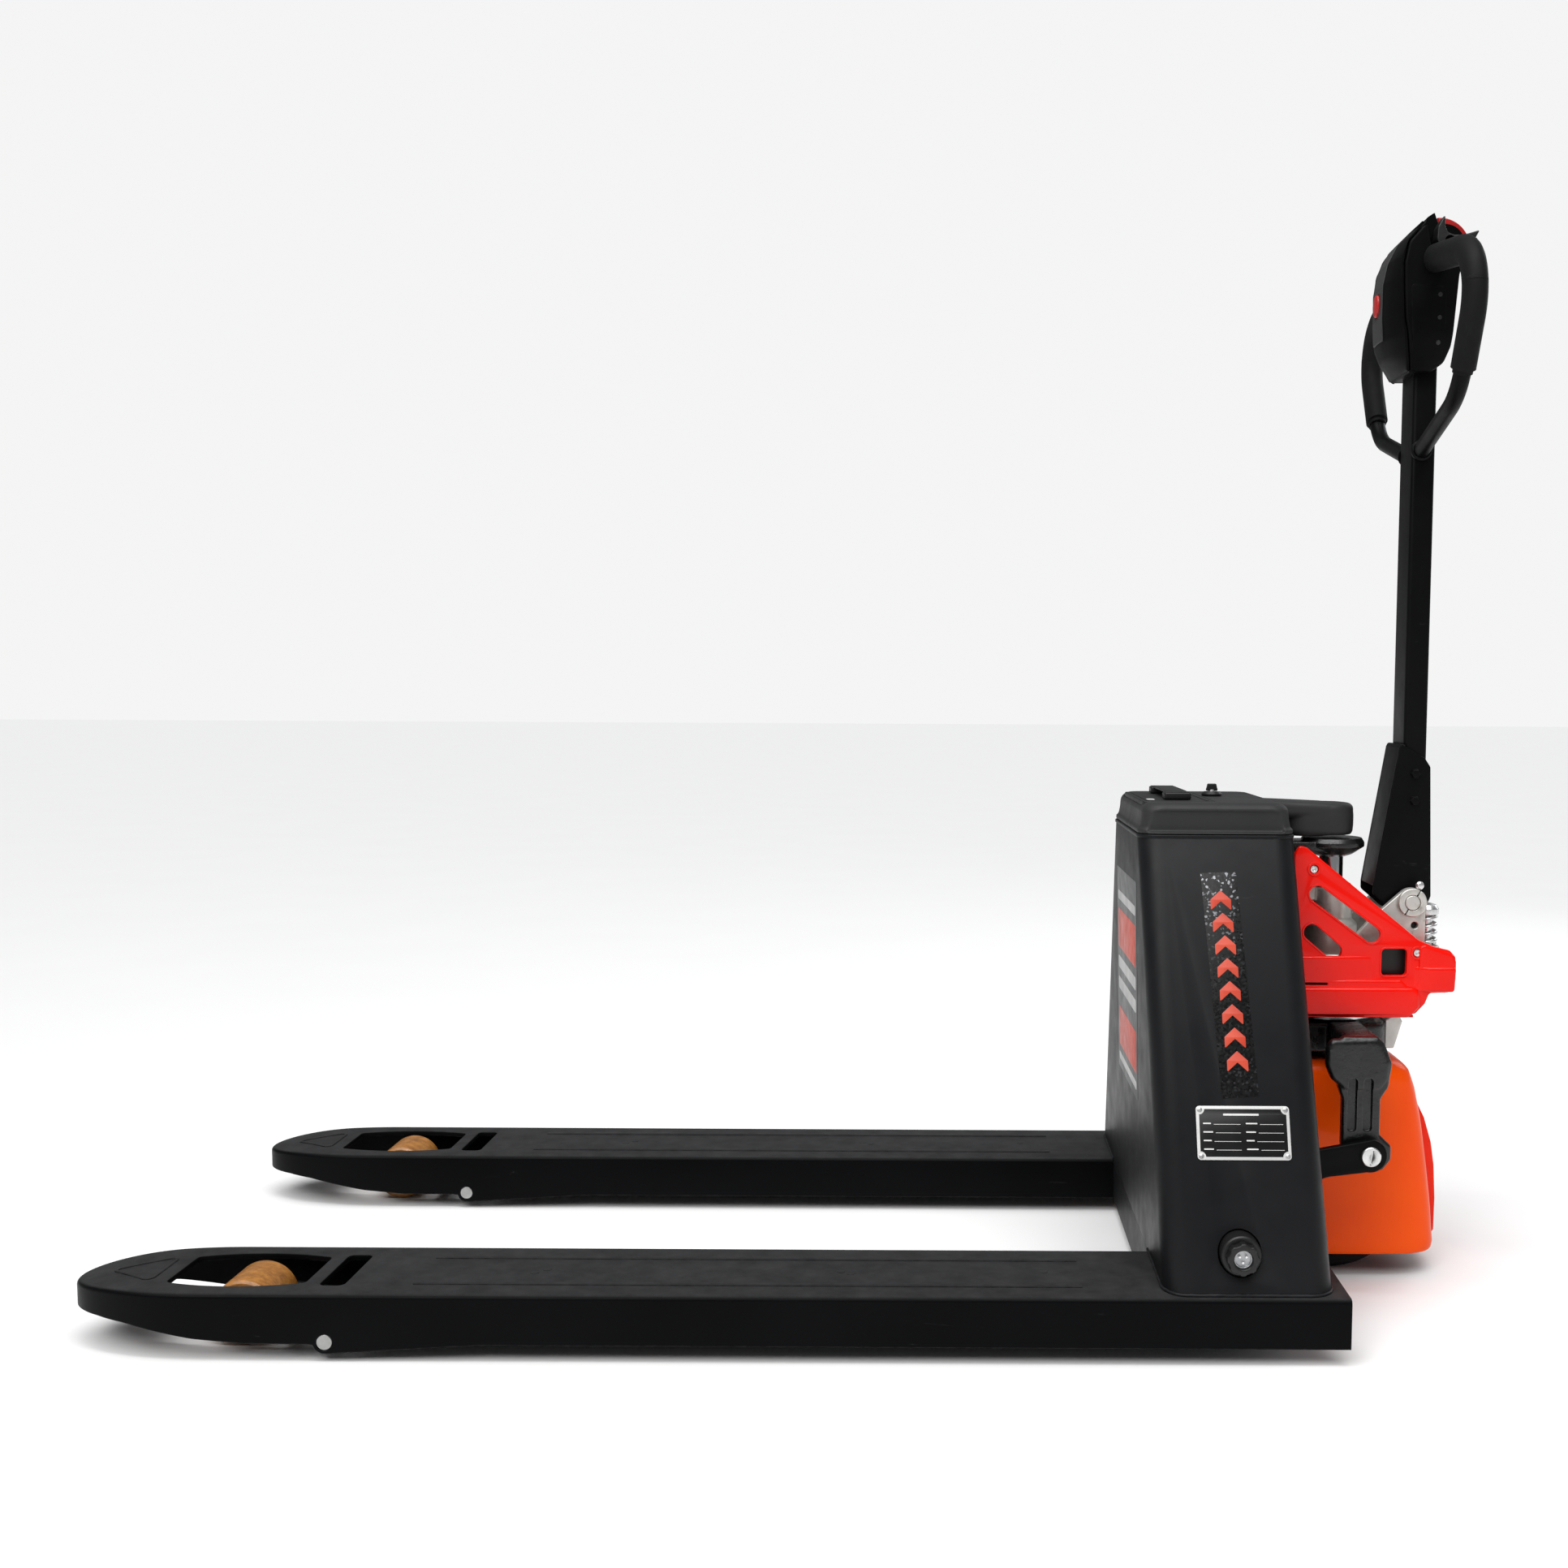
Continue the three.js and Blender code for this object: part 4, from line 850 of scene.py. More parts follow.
for side, sign in SIDES:
    y = sign * FORK_CENTRE
    tread = [(25, -35), (34, -35), (37, -32), (37, 32), (34, 35), (25, 35)]
    core = [(9.5, -32), (14, -32), (14, -33.5), (22, -33.5), (24.8, -34.5)]
    core += [(r, -h) for r, h in reversed(core)]
    roller = join(f"load_roller_{side}_turned",
                  lathe("tread", tread, centre(AXLE, y), "y", amber, 72, 1.6),
                  lathe("core", core, centre(AXLE, y), "y", steel, 48, 0.5))
    put(roller, f"load_roller_{side}", "polyurethane", f"load_roller_{side}")
    parts = []
    for s in (-1, 1):
        low, high = sorted((y + s * 38, y + s * 45))
        for outline in (bar(PIVOT, 12.5, AXLE, 13), bar(PIVOT, 12.5, LINK, 8)):
            parts.append(plate("cheek", [outline, circle(*PIVOT, 9.4)], "y", low, high, frame_paint, 1.2))
        boss = [(r, s * h) for r, h in ((0, 0), (9, 0), (9, 2.6), (8, 3), (0, 3))]
        parts.append(lathe("boss", boss, centre(AXLE, y + s * 45), "y", steel, 32, 0.4))
    parts.append(plate("web", [rect(-1178, -1150, 17, 42, 3)], "y", y - 39, y + 39, frame_paint, 1.0))
    parts.append(pillar("axle", 9, -46, 46, centre(AXLE, y), steel, 32))
    parts.append(pillar("link_pin", 5, -45, 45, centre(LINK, y), steel))
    bracket = join(f"roller_bracket_{side}_plates", *parts)
    put(bracket, f"roller_bracket_{side}", "black_powder_coat", f"roller_bracket_{side}")

for side, sign in SIDES:
    y = sign * FORK_CENTRE
    low, high = y - 5, y + 5
    rear, front = (FOOT[0], FOOT[1] - 1.9), (LINK[0], LINK[1] + 3.8)
    outline = bar((rear[0] - 10, 55), 9, (front[0] + 10, 54.5), 9)
    rod = [plate("rod", [outline], "y", low, high, frame_paint, 1.2)]
    for at, half, r in ((rear, 2.6, 9.4), (front, 4.3, 9)):
        ends = (at[0], at[1] - half), (at[0], at[1] + half)
        loops = [bar(ends[0], size, ends[1], size) for size in (r, 5.9)]
        rod.append(plate("eye", loops, "y", low, high, frame_paint, 1.0))
    put(join(f"push_rod_{side}_bar", *rod), f"push_rod_{side}", "black_powder_coat", f"push_rod_{side}")

shaft = [pillar("shaft", 15, -290, 290, centre(SHAFT), frame_paint, 48, 1.2)]
for side, sign in SIDES:
    y = sign * FORK_CENTRE
    shaft.append(plate("foot", [bar(SHAFT, 24, FOOT, 9.4)], "y", y + 5.6, y + 15.6, frame_paint, 1.4))
    shaft.append(pillar("foot_pin", 5, -8, 7, centre(FOOT, y), steel))
put(join("rocker_shaft_turned", *shaft), "rocker", "black_powder_coat", "rocker_shaft")

ARM_INNER, ARM_OUTER = 163, 173
ARM = arc(*YOKE_PIN, 20, -1.75, 1.45, 20) + [(-2, 192)] + arc(*SHAFT, 27, 1.35, 5.2, 26) + [(8, 159)]
ARM_RADII = [0] * 21 + [30] + [0] * 27 + [30]
WELD = [(15.5, 0), (20.5, 0), (18.5, 2.4), (15.5, 3.4)]
PIN_HEAD = [(0, 143.2), (8, 143.2), (8, 173.3), (11.8, 173.3), (11.8, 176), (10.8, 177), (0, 177)]
PIN_GROOVE = bar((YOKE_PIN[0] - 0.8, YOKE_PIN[1] - 6.4), 0.7, (YOKE_PIN[0] + 1.4, YOKE_PIN[1] + 6.4), 0.7)
for side, sign in SIDES:
    loops = [fillet(ARM, ARM_RADII, 8), circle(*SHAFT, 15.4), circle(*YOKE_PIN, 8.6)]
    weld = [(r, sign * h) for r, h in WELD]
    arm = join(f"rocker_arm_{side}_plate",
               plate("arm", loops, "y", *span(sign, ARM_INNER, ARM_OUTER), arm_paint, 2.0, 3),
               lathe("weld", weld, centre(SHAFT, sign * ARM_OUTER), "y", arm_paint, 40, 0.6))
    put(arm, "rocker", "black_powder_coat", f"rocker_arm_{side}")
    head = [(r, sign * h) for r, h in PIN_HEAD]
    pin = lathe(f"yoke_pin_{side}_turned", head, centre(YOKE_PIN), "y", steel, 48, 0.5)
    cut(pin, tool(PIN_GROOVE, "y", *span(sign, 176.2, 178), 0.1))
    put(pin, "rocker", "bright_steel", f"yoke_pin_{side}")


# ---------------------------------------------------------------- battery box
BOX_LOW, BOX_HIGH = 74.8, 563
BOX_FRONT, BOX_REAR = -202, -15
BOX_SLOPE = (139 - 335) / (BOX_HIGH - BOX_LOW)
BOX_LEAN = -11 / (BOX_HIGH - BOX_LOW)
BOX_WALL = 3
LIP, SEAM = 561, 76.2
SOCKET = (-118.5, 118)


def box_half(z):
    return 335 + BOX_SLOPE * (z - BOX_LOW)


def box_x(z):
    return BOX_LEAN * (z - BOX_LOW)


def box_section(z, inset=0.0):
    half = box_half(z) - inset
    lean = box_x(z)
    return rect(BOX_FRONT + lean + inset, BOX_REAR + lean - inset, -half, half, 28 - inset, 10)


def at_level(outline, z):
    return [(u, v, z) for u, v in outline]


def recess_tools(grow):
    """The stepped recess at the rear of the box, in which the lift gear and the drive unit turn."""
    return [tool(rect(-135 - grow, 60, -184 - grow, 184 + grow, 0.5, 4), "z", 0, 300 + grow, 0.5),
            tool(rect(-100 - grow, 60, -152 - grow, 152 + grow, 30, 8), "z", 200, 440 + grow),
            tool(rect(-66 - grow, 60, -118 - grow, 118 + grow, 30, 8), "z", 300, 700)]


levels = (BOX_LOW + BOX_WALL, BOX_HIGH + 8)
inner = loft("inner", [at_level(box_section(z, BOX_WALL), z) for z in levels], None)
cut(inner, *recess_tools(BOX_WALL))
body = loft("battery_box_shell", [at_level(box_section(z), z) for z in (BOX_LOW, BOX_HIGH)], frame_paint)
feet = [tool(rect(-138, -50, y - 22, y + 22, 1, 4), "z", 70, 85, 1) for y in (-FORK_CENTRE, FORK_CENTRE)]
cut(body, inner, *recess_tools(0), *feet, pillar("shaft_room", 16, -230, 230, centre(SHAFT), None, 40, 0),
    pillar("socket_room", 24.5, -345, -290, centre(SOCKET), None, 48, 0))
softened(body, 1.3)
front, rear, half = BOX_FRONT + box_x(LIP) - 1.4, BOX_REAR + box_x(LIP) + 1.4, box_half(LIP) + 1.4
lip = plate("lip", [rect(front, rear, -half, half, 29, 10), box_section(LIP, BOX_WALL)], "z", 558.6, 562.9,
            frame_paint, 1.2, 3)
cut(lip, tool(rect(-66, 60, -118, 118, 30, 8), "z", 540, 600))
seams = []
base = box_section(SEAM)
for half_base, end in ((base[:len(base) // 2], -186), (base[len(base) // 2:], 186)):
    line = [(half_base[0][0], end, SEAM)] + at_level(half_base, SEAM) + [(half_base[-1][0], end, SEAM)]
    line = resample([Vector(p) for p in line], 3.5)
    wobbly = [p + Vector([random.uniform(-size, size) for size in (0.25, 0.25, 0.2)]) for p in line]
    seams.append(tube("weld", wobbly, 1.9, frame_paint, 3))
put(join("battery_box_welded", body, lip, *seams), "fork_frame", "black_powder_coat", "battery_box")
dress("controller", alloy)

WALL_TILT = math.atan(-BOX_SLOPE)
SIN_W, COS_W = math.sin(WALL_TILT), math.cos(WALL_TILT)


def left_wall(x, z):
    """Plane of the sloping left wall around a point: u to the rear, v up the slope, w outwards."""
    y = -box_half(z)
    return lambda u, v, w: place(x + u, y + v * SIN_W - w * COS_W, z + v * COS_W + w * SIN_W)


def front_wall(z):
    """Plane of the front wall around a height: u to the right, v upwards, w outwards."""
    return lambda u, v, w: place(BOX_FRONT + box_x(z + v) - w, u, z + v)


def on_plane(name, loops, plane, low, high, material, edge=0.2, bevels=1):
    AXES["plane"] = plane
    return plate(name, loops, "plane", low, high, material, edge, bevels)


# Data plate: silver frame, black field, four rivets, blank ruled lines and no lettering
plane = left_wall(-108, 239)
notched = []
for su, sv, start in ((-1, -1, math.pi / 2), (1, -1, math.pi), (1, 1, -math.pi / 2), (-1, 1, 0)):
    notched += arc(su * 49, sv * 26.5, 6, start, start - math.pi / 2, 8)
tag = [on_plane("plate", [rect(-52.5, 52.5, -30, 30, 4)], plane, 0.5, 1.4, foil, 0.3, 2),
       on_plane("field", [notched], plane, 1.3, 1.55, dark_gloss, 0.08),
       on_plane("heading", [rect(-22, 18, 19.2, 21.4, 0.6)], plane, 1.5, 1.64, white_print, 0.03)]
for row, v in enumerate((9.5, 0.0, -9.5, -19.0)):
    for u, label in ((-45, 9 + 2 * (row % 2)), (3, 13 - 2 * (row % 3))):
        rule = rect(u + label + 3, u + 42, v - 0.25, v + 0.25)
        tag.append(on_plane("rule", [rule], plane, 1.5, 1.62, white_print, 0.02))
        mark = rect(u, u + label, v + 0.2, v + 1.7, 0.5)
        tag.append(on_plane("label", [mark], plane, 1.5, 1.63, white_print, 0.02))
for su in (-1, 1):
    for sv in (-1, 1):
        for r, w in ((3.0, 1.9), (2.0, 2.5), (1.0, 2.8)):
            tag.append(on_plane("rivet", [circle(su * 48.3, sv * 25.8, r, 20)], plane, 1.2, w, steel, 0.3, 2))
put(join("data_plate_riveted", *tag), "fork_frame", "bright_steel", "data_plate")

# Side sticker: glitter film with a column of chevrons
plane = left_wall(-115.5, 398)
corners = [(-27.5, 131), (14.5, 133), (27.5, -130), (-14.5, -133)]
film = [on_plane("film", [corners], plane, 0.05, 0.35, sticker, 0.1)]
CHEVRON = [(-12, -10), (0, 1), (12, -10), (12, 3), (0, 14), (-12, 3)]
for k in range(8):
    v = 96 - 27 * k
    lean = -v * 13 / 245
    chevron = fillet([(u + lean, w + v) for u, w in CHEVRON], 0.8, 3)
    film.append(on_plane("chevron", [chevron], plane, 0.3, 0.5, print_red, 0.05))
put(join("side_sticker", *film), "fork_frame", "red_plastic")

# Front decal: grey sheet with plain stripes
plane = front_wall(367)
sheet = [on_plane("sheet", [rect(-103, 103, -135, 135, 3)], plane, 0.05, 0.35, print_grey, 0.1)]
for low, high, ink in ((92, 104, print_white), (28, 80, print_red), (0, 16, print_white),
                       (-28, -12, print_white), (-104, -52, print_red), (-124, -114, print_white)):
    sheet.append(on_plane("stripe", [rect(-92, 92, low, high, 4)], plane, 0.3, 0.5, ink, 0.05))
put(join("front_decal", *sheet), "fork_frame", "grey_plastic")

# Charging socket
flange = [(10.3, -329), (21, -329), (22.5, -327), (22.5, -300), (10.3, -300)]
socket = lathe("socket_body_turned", flange, centre(SOCKET), "y", black_plastic, 64, 1.0)
put(socket, "fork_frame", "cover_plastic", "socket_body")
lobes = []
for k in range(96):
    a = 2 * math.pi * k / 96
    r = 17.2 + 0.8 * math.tanh(3 * math.cos(8 * a))
    lobes.append((SOCKET[0] + r * math.cos(a), SOCKET[1] + r * math.sin(a)))
ring = plate("socket_ring_lobed", [lobes, circle(*SOCKET, 10.4)], "y", -341.5, -329.3, black_plastic, 1.6, 3)
put(ring, "fork_frame", "cover_plastic", "socket_ring")
core = [(0, -334.5), (8.6, -334.5), (8.6, -338), (10, -338), (10, -302), (0, -302)]
contacts = [lathe("core", core, centre(SOCKET), "y", alloy, 48, 0.4)]
for u, v in ((-3.6, 2.4), (3.6, 2.4), (0, -4.0)):
    at = (SOCKET[0] + u, 0, SOCKET[1] + v)
    contacts.append(pillar("contact", 1.4, -337.4, -333, at, chrome, 16, 0.3))
put(join("socket_core_contacts", *contacts), "fork_frame", "bright_steel", "socket_core")


# ---------------------------------------------------------------- top cover, key, battery
LID_FRONT, LID_REAR, LID_HALF = -213, -26, 139
STEER = (49, 0, 0)
KEY = (-101.4, 20)
NOSE = (41, 0, 0)


def lid_ring(inset, z):
    outline = rect(LID_FRONT + inset, LID_REAR - inset, -LID_HALF + inset, LID_HALF - inset,
                   max(8, 26 - inset * 0.6), 9)
    return at_level(outline, z)


lid_rings = [lid_ring(0.0, 563.3), lid_ring(0.0, 568.5), lid_ring(2.8, 570.5), lid_ring(4.6, 580)]
for k in range(1, 9):
    a = k / 8 * math.pi / 2
    lid_rings.append(lid_ring(5.0 + 13 * (1 - math.cos(a)), 587 + 13 * math.sin(a)))
arch = fillet([(-203, 566), (-40, 566), (-40, 591), (-203, 591)], [2, 2, 16, 16], 8)
recesses = [tool(arch, "y", *span(s, 130.2, 150), 1.5, 3) for s in (-1, 1)]
tongue = fillet([(-90, 578), (-60, 577), (41, 577), (41, 594.5), (-20, 597), (-90, 599.5)], 3)
nose = [(0, 551.6), (26, 551.6), (33, 557), (34, 566), (34, 580), (31, 590), (22, 594.6), (0, 594.6)]
lid = [cut(loft("lid", lid_rings, lid_plastic), *recesses),
       plate("tongue", [tongue], "y", -33, 33, lid_plastic, 7, 4),
       lathe("nose", nose, NOSE, "z", lid_plastic, 72, 7),
       plate("nose_front", [bar((13, 0), 32, NOSE[:2], 33.6)], "z", 552.4, 594, lid_plastic, 8, 5)]
cover = blended(join("top_cover_moulded", *lid), 1.5, 5)
cut(cover,
    tool(rect(LID_FRONT + 10, LID_REAR - 10, -125, 125, 16, 6), "z", 555, 586, 3, 3),
    pillar("nose_hollow", 30.5, 540, 588, NOSE, None, 48, 3, "z"),
    tool(rect(-205.3, -115.7, -98.3, 98.3, 7, 6), "z", 570, 610),
    pillar("key_room", 9.4, 570, 610, (*KEY, 0), None, 32, 0, "z"))
put(crisp(cover), "fork_frame", "cover_plastic", "top_cover")

PANEL_TOP = 600.4
panel = rect(-204.4, -116.6, -97.4, 97.4, 6, 6)
pack = [plate("panel", [panel], "z", 588.5, PANEL_TOP, case_plastic, 1.4, 3),
        plate("case", [rect(-201, -120, -94, 94, 3, 4)], "z", 306, 588.6, case_plastic, 1)]
for x in (-199, -126):
    pack.append(plate("rib", [rect(x, x + 3, -90, 90, 1.4)], "z", 600.2, 601.2, case_plastic, 0.4))
pack.append(plate("label", [rect(-198, -186, -70, -52, 1)], "z", 600.3, 600.7, white_print, 0.1))
put(join("battery_pack_case", *pack), "battery", "battery_case", "battery_pack")
grip = []
for s in (-1, 1):
    end = rect(-175, -142, *span(s, 51, 75), 3, 5)
    grip.append(plate("end", [end], "z", 600.9, 609.6, black_plastic, 2.0, 3))
    for k in range(3):
        y = s * (56 + 7 * k)
        rib = rect(-173, -144, y - 1.2, y + 1.2, 1)
        grip.append(plate("rib", [rib], "z", 609, 610.4, black_plastic, 0.5))
strap = [(-68, 607.2), (-52, 608.0), (52, 608.0), (68, 607.2), (68, 610.0), (50, 611.0), (-50, 611.0),
         (-68, 610.0)]
grip.append(plate("strap", [fillet(strap, 1.2, 3)], "x", -172, -145, black_plastic, 1.0))
put(join("battery_handle_strap", *grip), "battery", "wheel_rubber", "battery_handle")

bezel = [(4.4, 585), (8.8, 585), (9, PANEL_TOP), (13, 600.6), (13, 603.2), (10.2, 605.8), (4.4, 605.8)]
put(lathe("key_bezel_turned", bezel, (*KEY, 0), "z", black_plastic, 48, 0.8), "fork_frame", "cover_plastic",
    "key_bezel")
KEY_BOW = [(-8, 606.6), (8, 606.6), (6.5, 611), (5.5, 615.8), (-5.5, 615.8), (-6.5, 611)]
bow = fillet([(KEY[0] + u, v) for u, v in KEY_BOW], 1.5, 4)
key = [pillar("stem", 4, 590, 608, (*KEY, 0), steel, 24, 0.4, "z"),
       plate("bow", [bow], "y", KEY[1] - 3, KEY[1] + 3, black_plastic, 1.4, 3)]
put(join("key_with_bow", *key), "key", "cover_plastic", "key")

disc = [(0, 526), (18, 526), (26, 529), (40.5, 539), (40.5, 544), (37, 549.8), (0, 549.8)]
arm = [(-65.7, 548.7), (-31, 548.7), (-26, 532.2), (49, 532.2), (49, 545.8), (-16, 545.8), (-32, 561.8),
       (-65.7, 561.8)]
lid_arm = [lathe("disc", disc, STEER, "z", cast_black, 64, 1.6),
           plate("arm", [fillet(arm, 2.5, 4)], "y", -29.8, 29.8, cast_black, 2.5, 3)]
put(join("lid_bar_forged", *lid_arm), "fork_frame", "black_cast", "lid_bar")
put(pillar("ram_polished", 15, 366, 541.8, STEER, chrome, 64, 1.0, "z"), "fork_frame", "chrome", "ram")


# ---------------------------------------------------------------- yoke and bearing
LEG = [(26, 317), (30, 325), (72, 325), (80, 318), (90, 292), (86, 264), (77, 250), (77, 206), (91, 193),
       (91, 176), (81, 163), (52, 163), (38, 172), (31, 192), (31, 250), (26, 264), (26, 286)]
SHOULDER = [(10, 312), (16, 322), (70, 324), (78, 317), (88, 294), (85, 272), (75, 260), (33, 260), (17, 274),
            (10, 290)]
SLOT_LENGTH = 12.9
casting = [plate("bridge", [rect(35, 77, 286, 324, 6)], "y", -158, 158, cast_black, 4, 3),
           plate("ring", [rect(-18, 112, -62, 62, 24, 8)], "z", 285, 322, cast_black, 5, 3)]
tools = [pillar("bore", 42, 270, 340, STEER, None, 64, 0, "z")]
for s in (-1, 1):
    casting.append(plate("leg", [fillet(LEG, 5, 4)], "y", *span(s, 143, 157), cast_black, 3, 3))
    casting.append(plate("shoulder", [fillet(SHOULDER, 8, 5)], "y", *span(s, 146, 160), cast_black, 6.5, 4))
    slot = bar(YOKE_PIN, 9, (YOKE_PIN[0] + SLOT_LENGTH, YOKE_PIN[1]), 9)
    tools.append(tool(slot, "y", *span(s, 136, 165)))
    for x in (37, 55.5):
        tools.append(tool(rect(x, x + 11.5, 210, 276, 5, 5), "y", *span(s, 151.5, 165), 1.5))
yoke = cut(blended(join("yoke_casting", *casting), 1.5, 7), *tools)
put(crisp(yoke), "carriage", "black_cast", "yoke")
race = [(38.3, 325.4), (60, 325.4), (60, 329.2), (58.8, 330), (60, 330.8), (60, 334.7), (38.3, 334.7)]
bearing = lathe("thrust_bearing_race", race, STEER, "z", steel, 72, 0.5)
put(bearing, "carriage", "bright_steel", "thrust_bearing")
stop = [(112.4, 286), (124, 286), (134, 320), (128, 331), (112.4, 322)]
stop = plate("stop_plate_cast", [fillet(stop, 2, 4)], "y", -40, 40, zinc, 1.5, 3)
put(stop, "carriage", "zinc_cast", "stop_plate")


# ---------------------------------------------------------------- drive unit
dress("drive_bracket", cast_black)
dress("drive_axle", steel)
WHEEL = (STEER[0], 0, 105)
BOLT_CIRCLE = 52
hub = [(12.4, -44), (40, -44), (44, -41), (60, -41), (66, -35), (85.4, -32)]
hub += [(r, -h) for r, h in reversed(hub)]
motor = [lathe("hub", hub, WHEEL, "y", alloy, 96, 1.4)]
for k in range(8):
    a = 2 * math.pi * k / 8
    at = (WHEEL[0] + BOLT_CIRCLE * math.cos(a), 0, WHEEL[2] + BOLT_CIRCLE * math.sin(a))
    motor += [pillar("bolt", 3.6, s * 40.5, s * 44, at, steel, 12, 0.6) for s in (-1, 1)]
put(join("hub_motor_turned", *motor), "drive_wheel", "motor_alloy", "hub_motor")
tread = [(86, -33), (91, -35), (99, -35), (105, -29)]
for c in (-14, 0, 14):
    tread += [(105, c - 2.2), (102.4, c - 1.6), (102.4, c + 1.6), (105, c + 2.2)]
tread += [(105, 29), (99, 35), (91, 35), (86, 33)]
tyre = lathe("drive_tyre_moulded", tread, WHEEL, "y", tyre_rubber, 120, 0.8)
put(tyre, "drive_wheel", "wheel_rubber", "drive_tyre")

HOOD_REAR = [(30, 178), (36, 181.5), (60, 179), (87, 177), (140, 170), (194, 162), (236, 153), (258, 145.5),
             (274, 137)]
HOOD_FRONT = [(30, -70), (236, -70), (274, -42)]
HOOD_HALF, HOOD_TOP, HOOD_HOLE = 70, 274, 39.4


def hood_ring(z, inset, count=112):
    """Level section of the hood: a box with very round corners."""
    x0, x1 = between(HOOD_FRONT, z) + inset, between(HOOD_REAR, z) - inset
    points = []
    for i in range(count):
        t = 2 * math.pi * i / count
        u, v = (math.copysign(abs(c) ** 0.42, c) for c in (math.cos(t), math.sin(t)))
        points.append(((x0 + x1) / 2 + (x1 - x0) / 2 * u, (HOOD_HALF - inset) * v, z))
    return points


hood_levels = [(30.0, 1.2), (31.0, 0.4), (33.0, 0.0)]
hood_levels += [(z, 0.0) for z in (40, 50, 60, 80, 100, 120, 140, 160, 180, 200, 220, 236, 248)]
for k in range(1, 10):
    a = k / 9 * math.pi / 2
    hood_levels.append((256 + 18 * math.sin(a), 18 * (1 - math.cos(a))))
hood_rings = [hood_ring(z, inset) for z, inset in hood_levels]
last = hood_rings[-1]
for blend in (0.35, 0.7, 1.0):
    ring = []
    for x, y, _ in last:
        a = math.atan2(y, x - STEER[0])
        cx, cy = STEER[0] + HOOD_HOLE * math.cos(a), HOOD_HOLE * math.sin(a)
        ring.append((x + (cx - x) * blend, y + (cy - y) * blend, HOOD_TOP))
    hood_rings.append(ring)
hood = loft("drive_hood_shell", hood_rings, orange_plastic, False)
wall = hood.modifiers.new("wall", "SOLIDIFY")
wall.thickness = 3.2 * MM
wall.offset = -1
put(apply_modifiers(hood), "steering", "orange_plastic", "drive_hood")
outer_edge = [(161, 212), (171, 192), (180.5, 160), (185, 130), (187.3, 87), (186.8, 46), (183, 40.5)]
inner_edge = [(between(HOOD_REAR, z) - 2.4, z) for z in (40.5, 87, 140, 194, 212)]
outline = fillet(outer_edge + inner_edge, 3, 3)
strip = plate("hood_strip_moulded", [outline], "y", -22, 22, strip_plastic, 3, 4)
put(strip, "steering", "red_plastic", "hood_strip")


# ---------------------------------------------------------------- pump
TILLER_PIN = (139.5, 472)
PLUNGER = (172, 0, 0)
cylinder = [(0, 395), (34, 395), (34, 440), (27, 447), (27, 487.6), (0, 487.6)]
core = [plate("base", [rect(-14, 128, -62, 62, 18, 8)], "z", 335.4, 362, zinc, 3, 3),
        plate("block", [rect(2, 126, -50, 50, 12, 6)], "z", 355, 402, zinc, 4, 3),
        plate("rear", [rect(96, 160, -25, 25, 10, 6)], "z", 350, 396, zinc, 4, 3),
        plate("neck", [rect(130, 172, -16, 16, 6, 4)], "z", 378, 405, zinc, 3, 3),
        pillar("boss", 17.5, 352, 411.6, PLUNGER, zinc, 48, 2, "z"),
        lathe("cylinder", cylinder, STEER, "z", zinc, 64, 3),
        plate("shelf_web", [rect(12, 26, -20, 20, 3)], "z", 470, 502, zinc, 2)]
pump = [blended(join("core", *core), 1.4, 5, 0.6)]
cut(pump[0], pillar("bore", 15.6, 380, 520, STEER, None, 48, 0, "z"),
    pillar("bore", 8.6, 368, 430, PLUNGER, None, 32, 0, "z"))
pump.append(plate("shelf", [rect(0, 30, -83.4, 83.4, 4)], "z", 500.2, 507, zinc, 1.5))
gland = [(15.6, 487), (25, 487), (25, 491), (20, 493), (15.6, 493)]
pump.append(lathe("gland", gland, STEER, "z", black_plastic, 48, 0.8))
EAR = [(62, 398), (157.4, 398), (157.4, 472)] + arc(*TILLER_PIN, 18, 0, math.pi * 0.72, 18)
EAR += [(90, 452), (62, 420)]
EAR_HOLE = (143.8, 443)
for s in (-1, 1):
    loops = [EAR, circle(*TILLER_PIN, 10.2), circle(*EAR_HOLE, 4.2, 24)]
    pump.append(plate("ear", loops, "y", *span(s, 36.2, 46), zinc, 1.5, 3))
    # Painted shade: a black disc set in each small ear hole stands for the shade deep inside the hole.
    pump.append(pillar("hole_shade_disc", 4.8, s * 36.6, s * 38, centre(EAR_HOLE), black_plastic, 24, 0.2))
    pump.append(pillar("stud", 4.4, *span(s, 44, 79.6), (136, 0, 415), zinc, 20, 0.4))
    ends = [(0, s * 46), (5.2, s * 46), (5.2, s * 49), (3.2, s * 51), (0, s * 51.6)]
    pump.append(lathe("cotter", ends, (148.4, 0, 493.5), "y", steel, 24, 0.6))
put(join("pump_body_cast", *pump), "steering", "zinc_cast", "pump_body")

plunger = [(0, 397), (7.9, 397), (7.9, 451), (15.5, 452), (15.5, 459), (12, 464), (6, 465.8), (0, 466)]
put(lathe("plunger_turned", plunger, PLUNGER, "z", steel, 48, 0.8), "plunger", "bright_steel", "plunger")
SPRING_LOW, SPRING_HIGH = 412.2, 451.6
SPRING_TURNS, SPRING_R, WIRE = 4.5, 12.1, 2.2
helix = []
for k in range(241):
    t = k / 240
    ease = min(1, max(0, (t - 0.1) / 0.8))
    a = t * SPRING_TURNS * 2 * math.pi
    helix.append((PLUNGER[0] + SPRING_R * math.cos(a), SPRING_R * math.sin(a),
                  SPRING_LOW + 2 + (SPRING_HIGH - SPRING_LOW - 4) * ease))
spring = tube("plunger_spring_coil", helix, WIRE, steel, 4)
put(spring, "steering", "bright_steel", "plunger_spring")
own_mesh(spring)

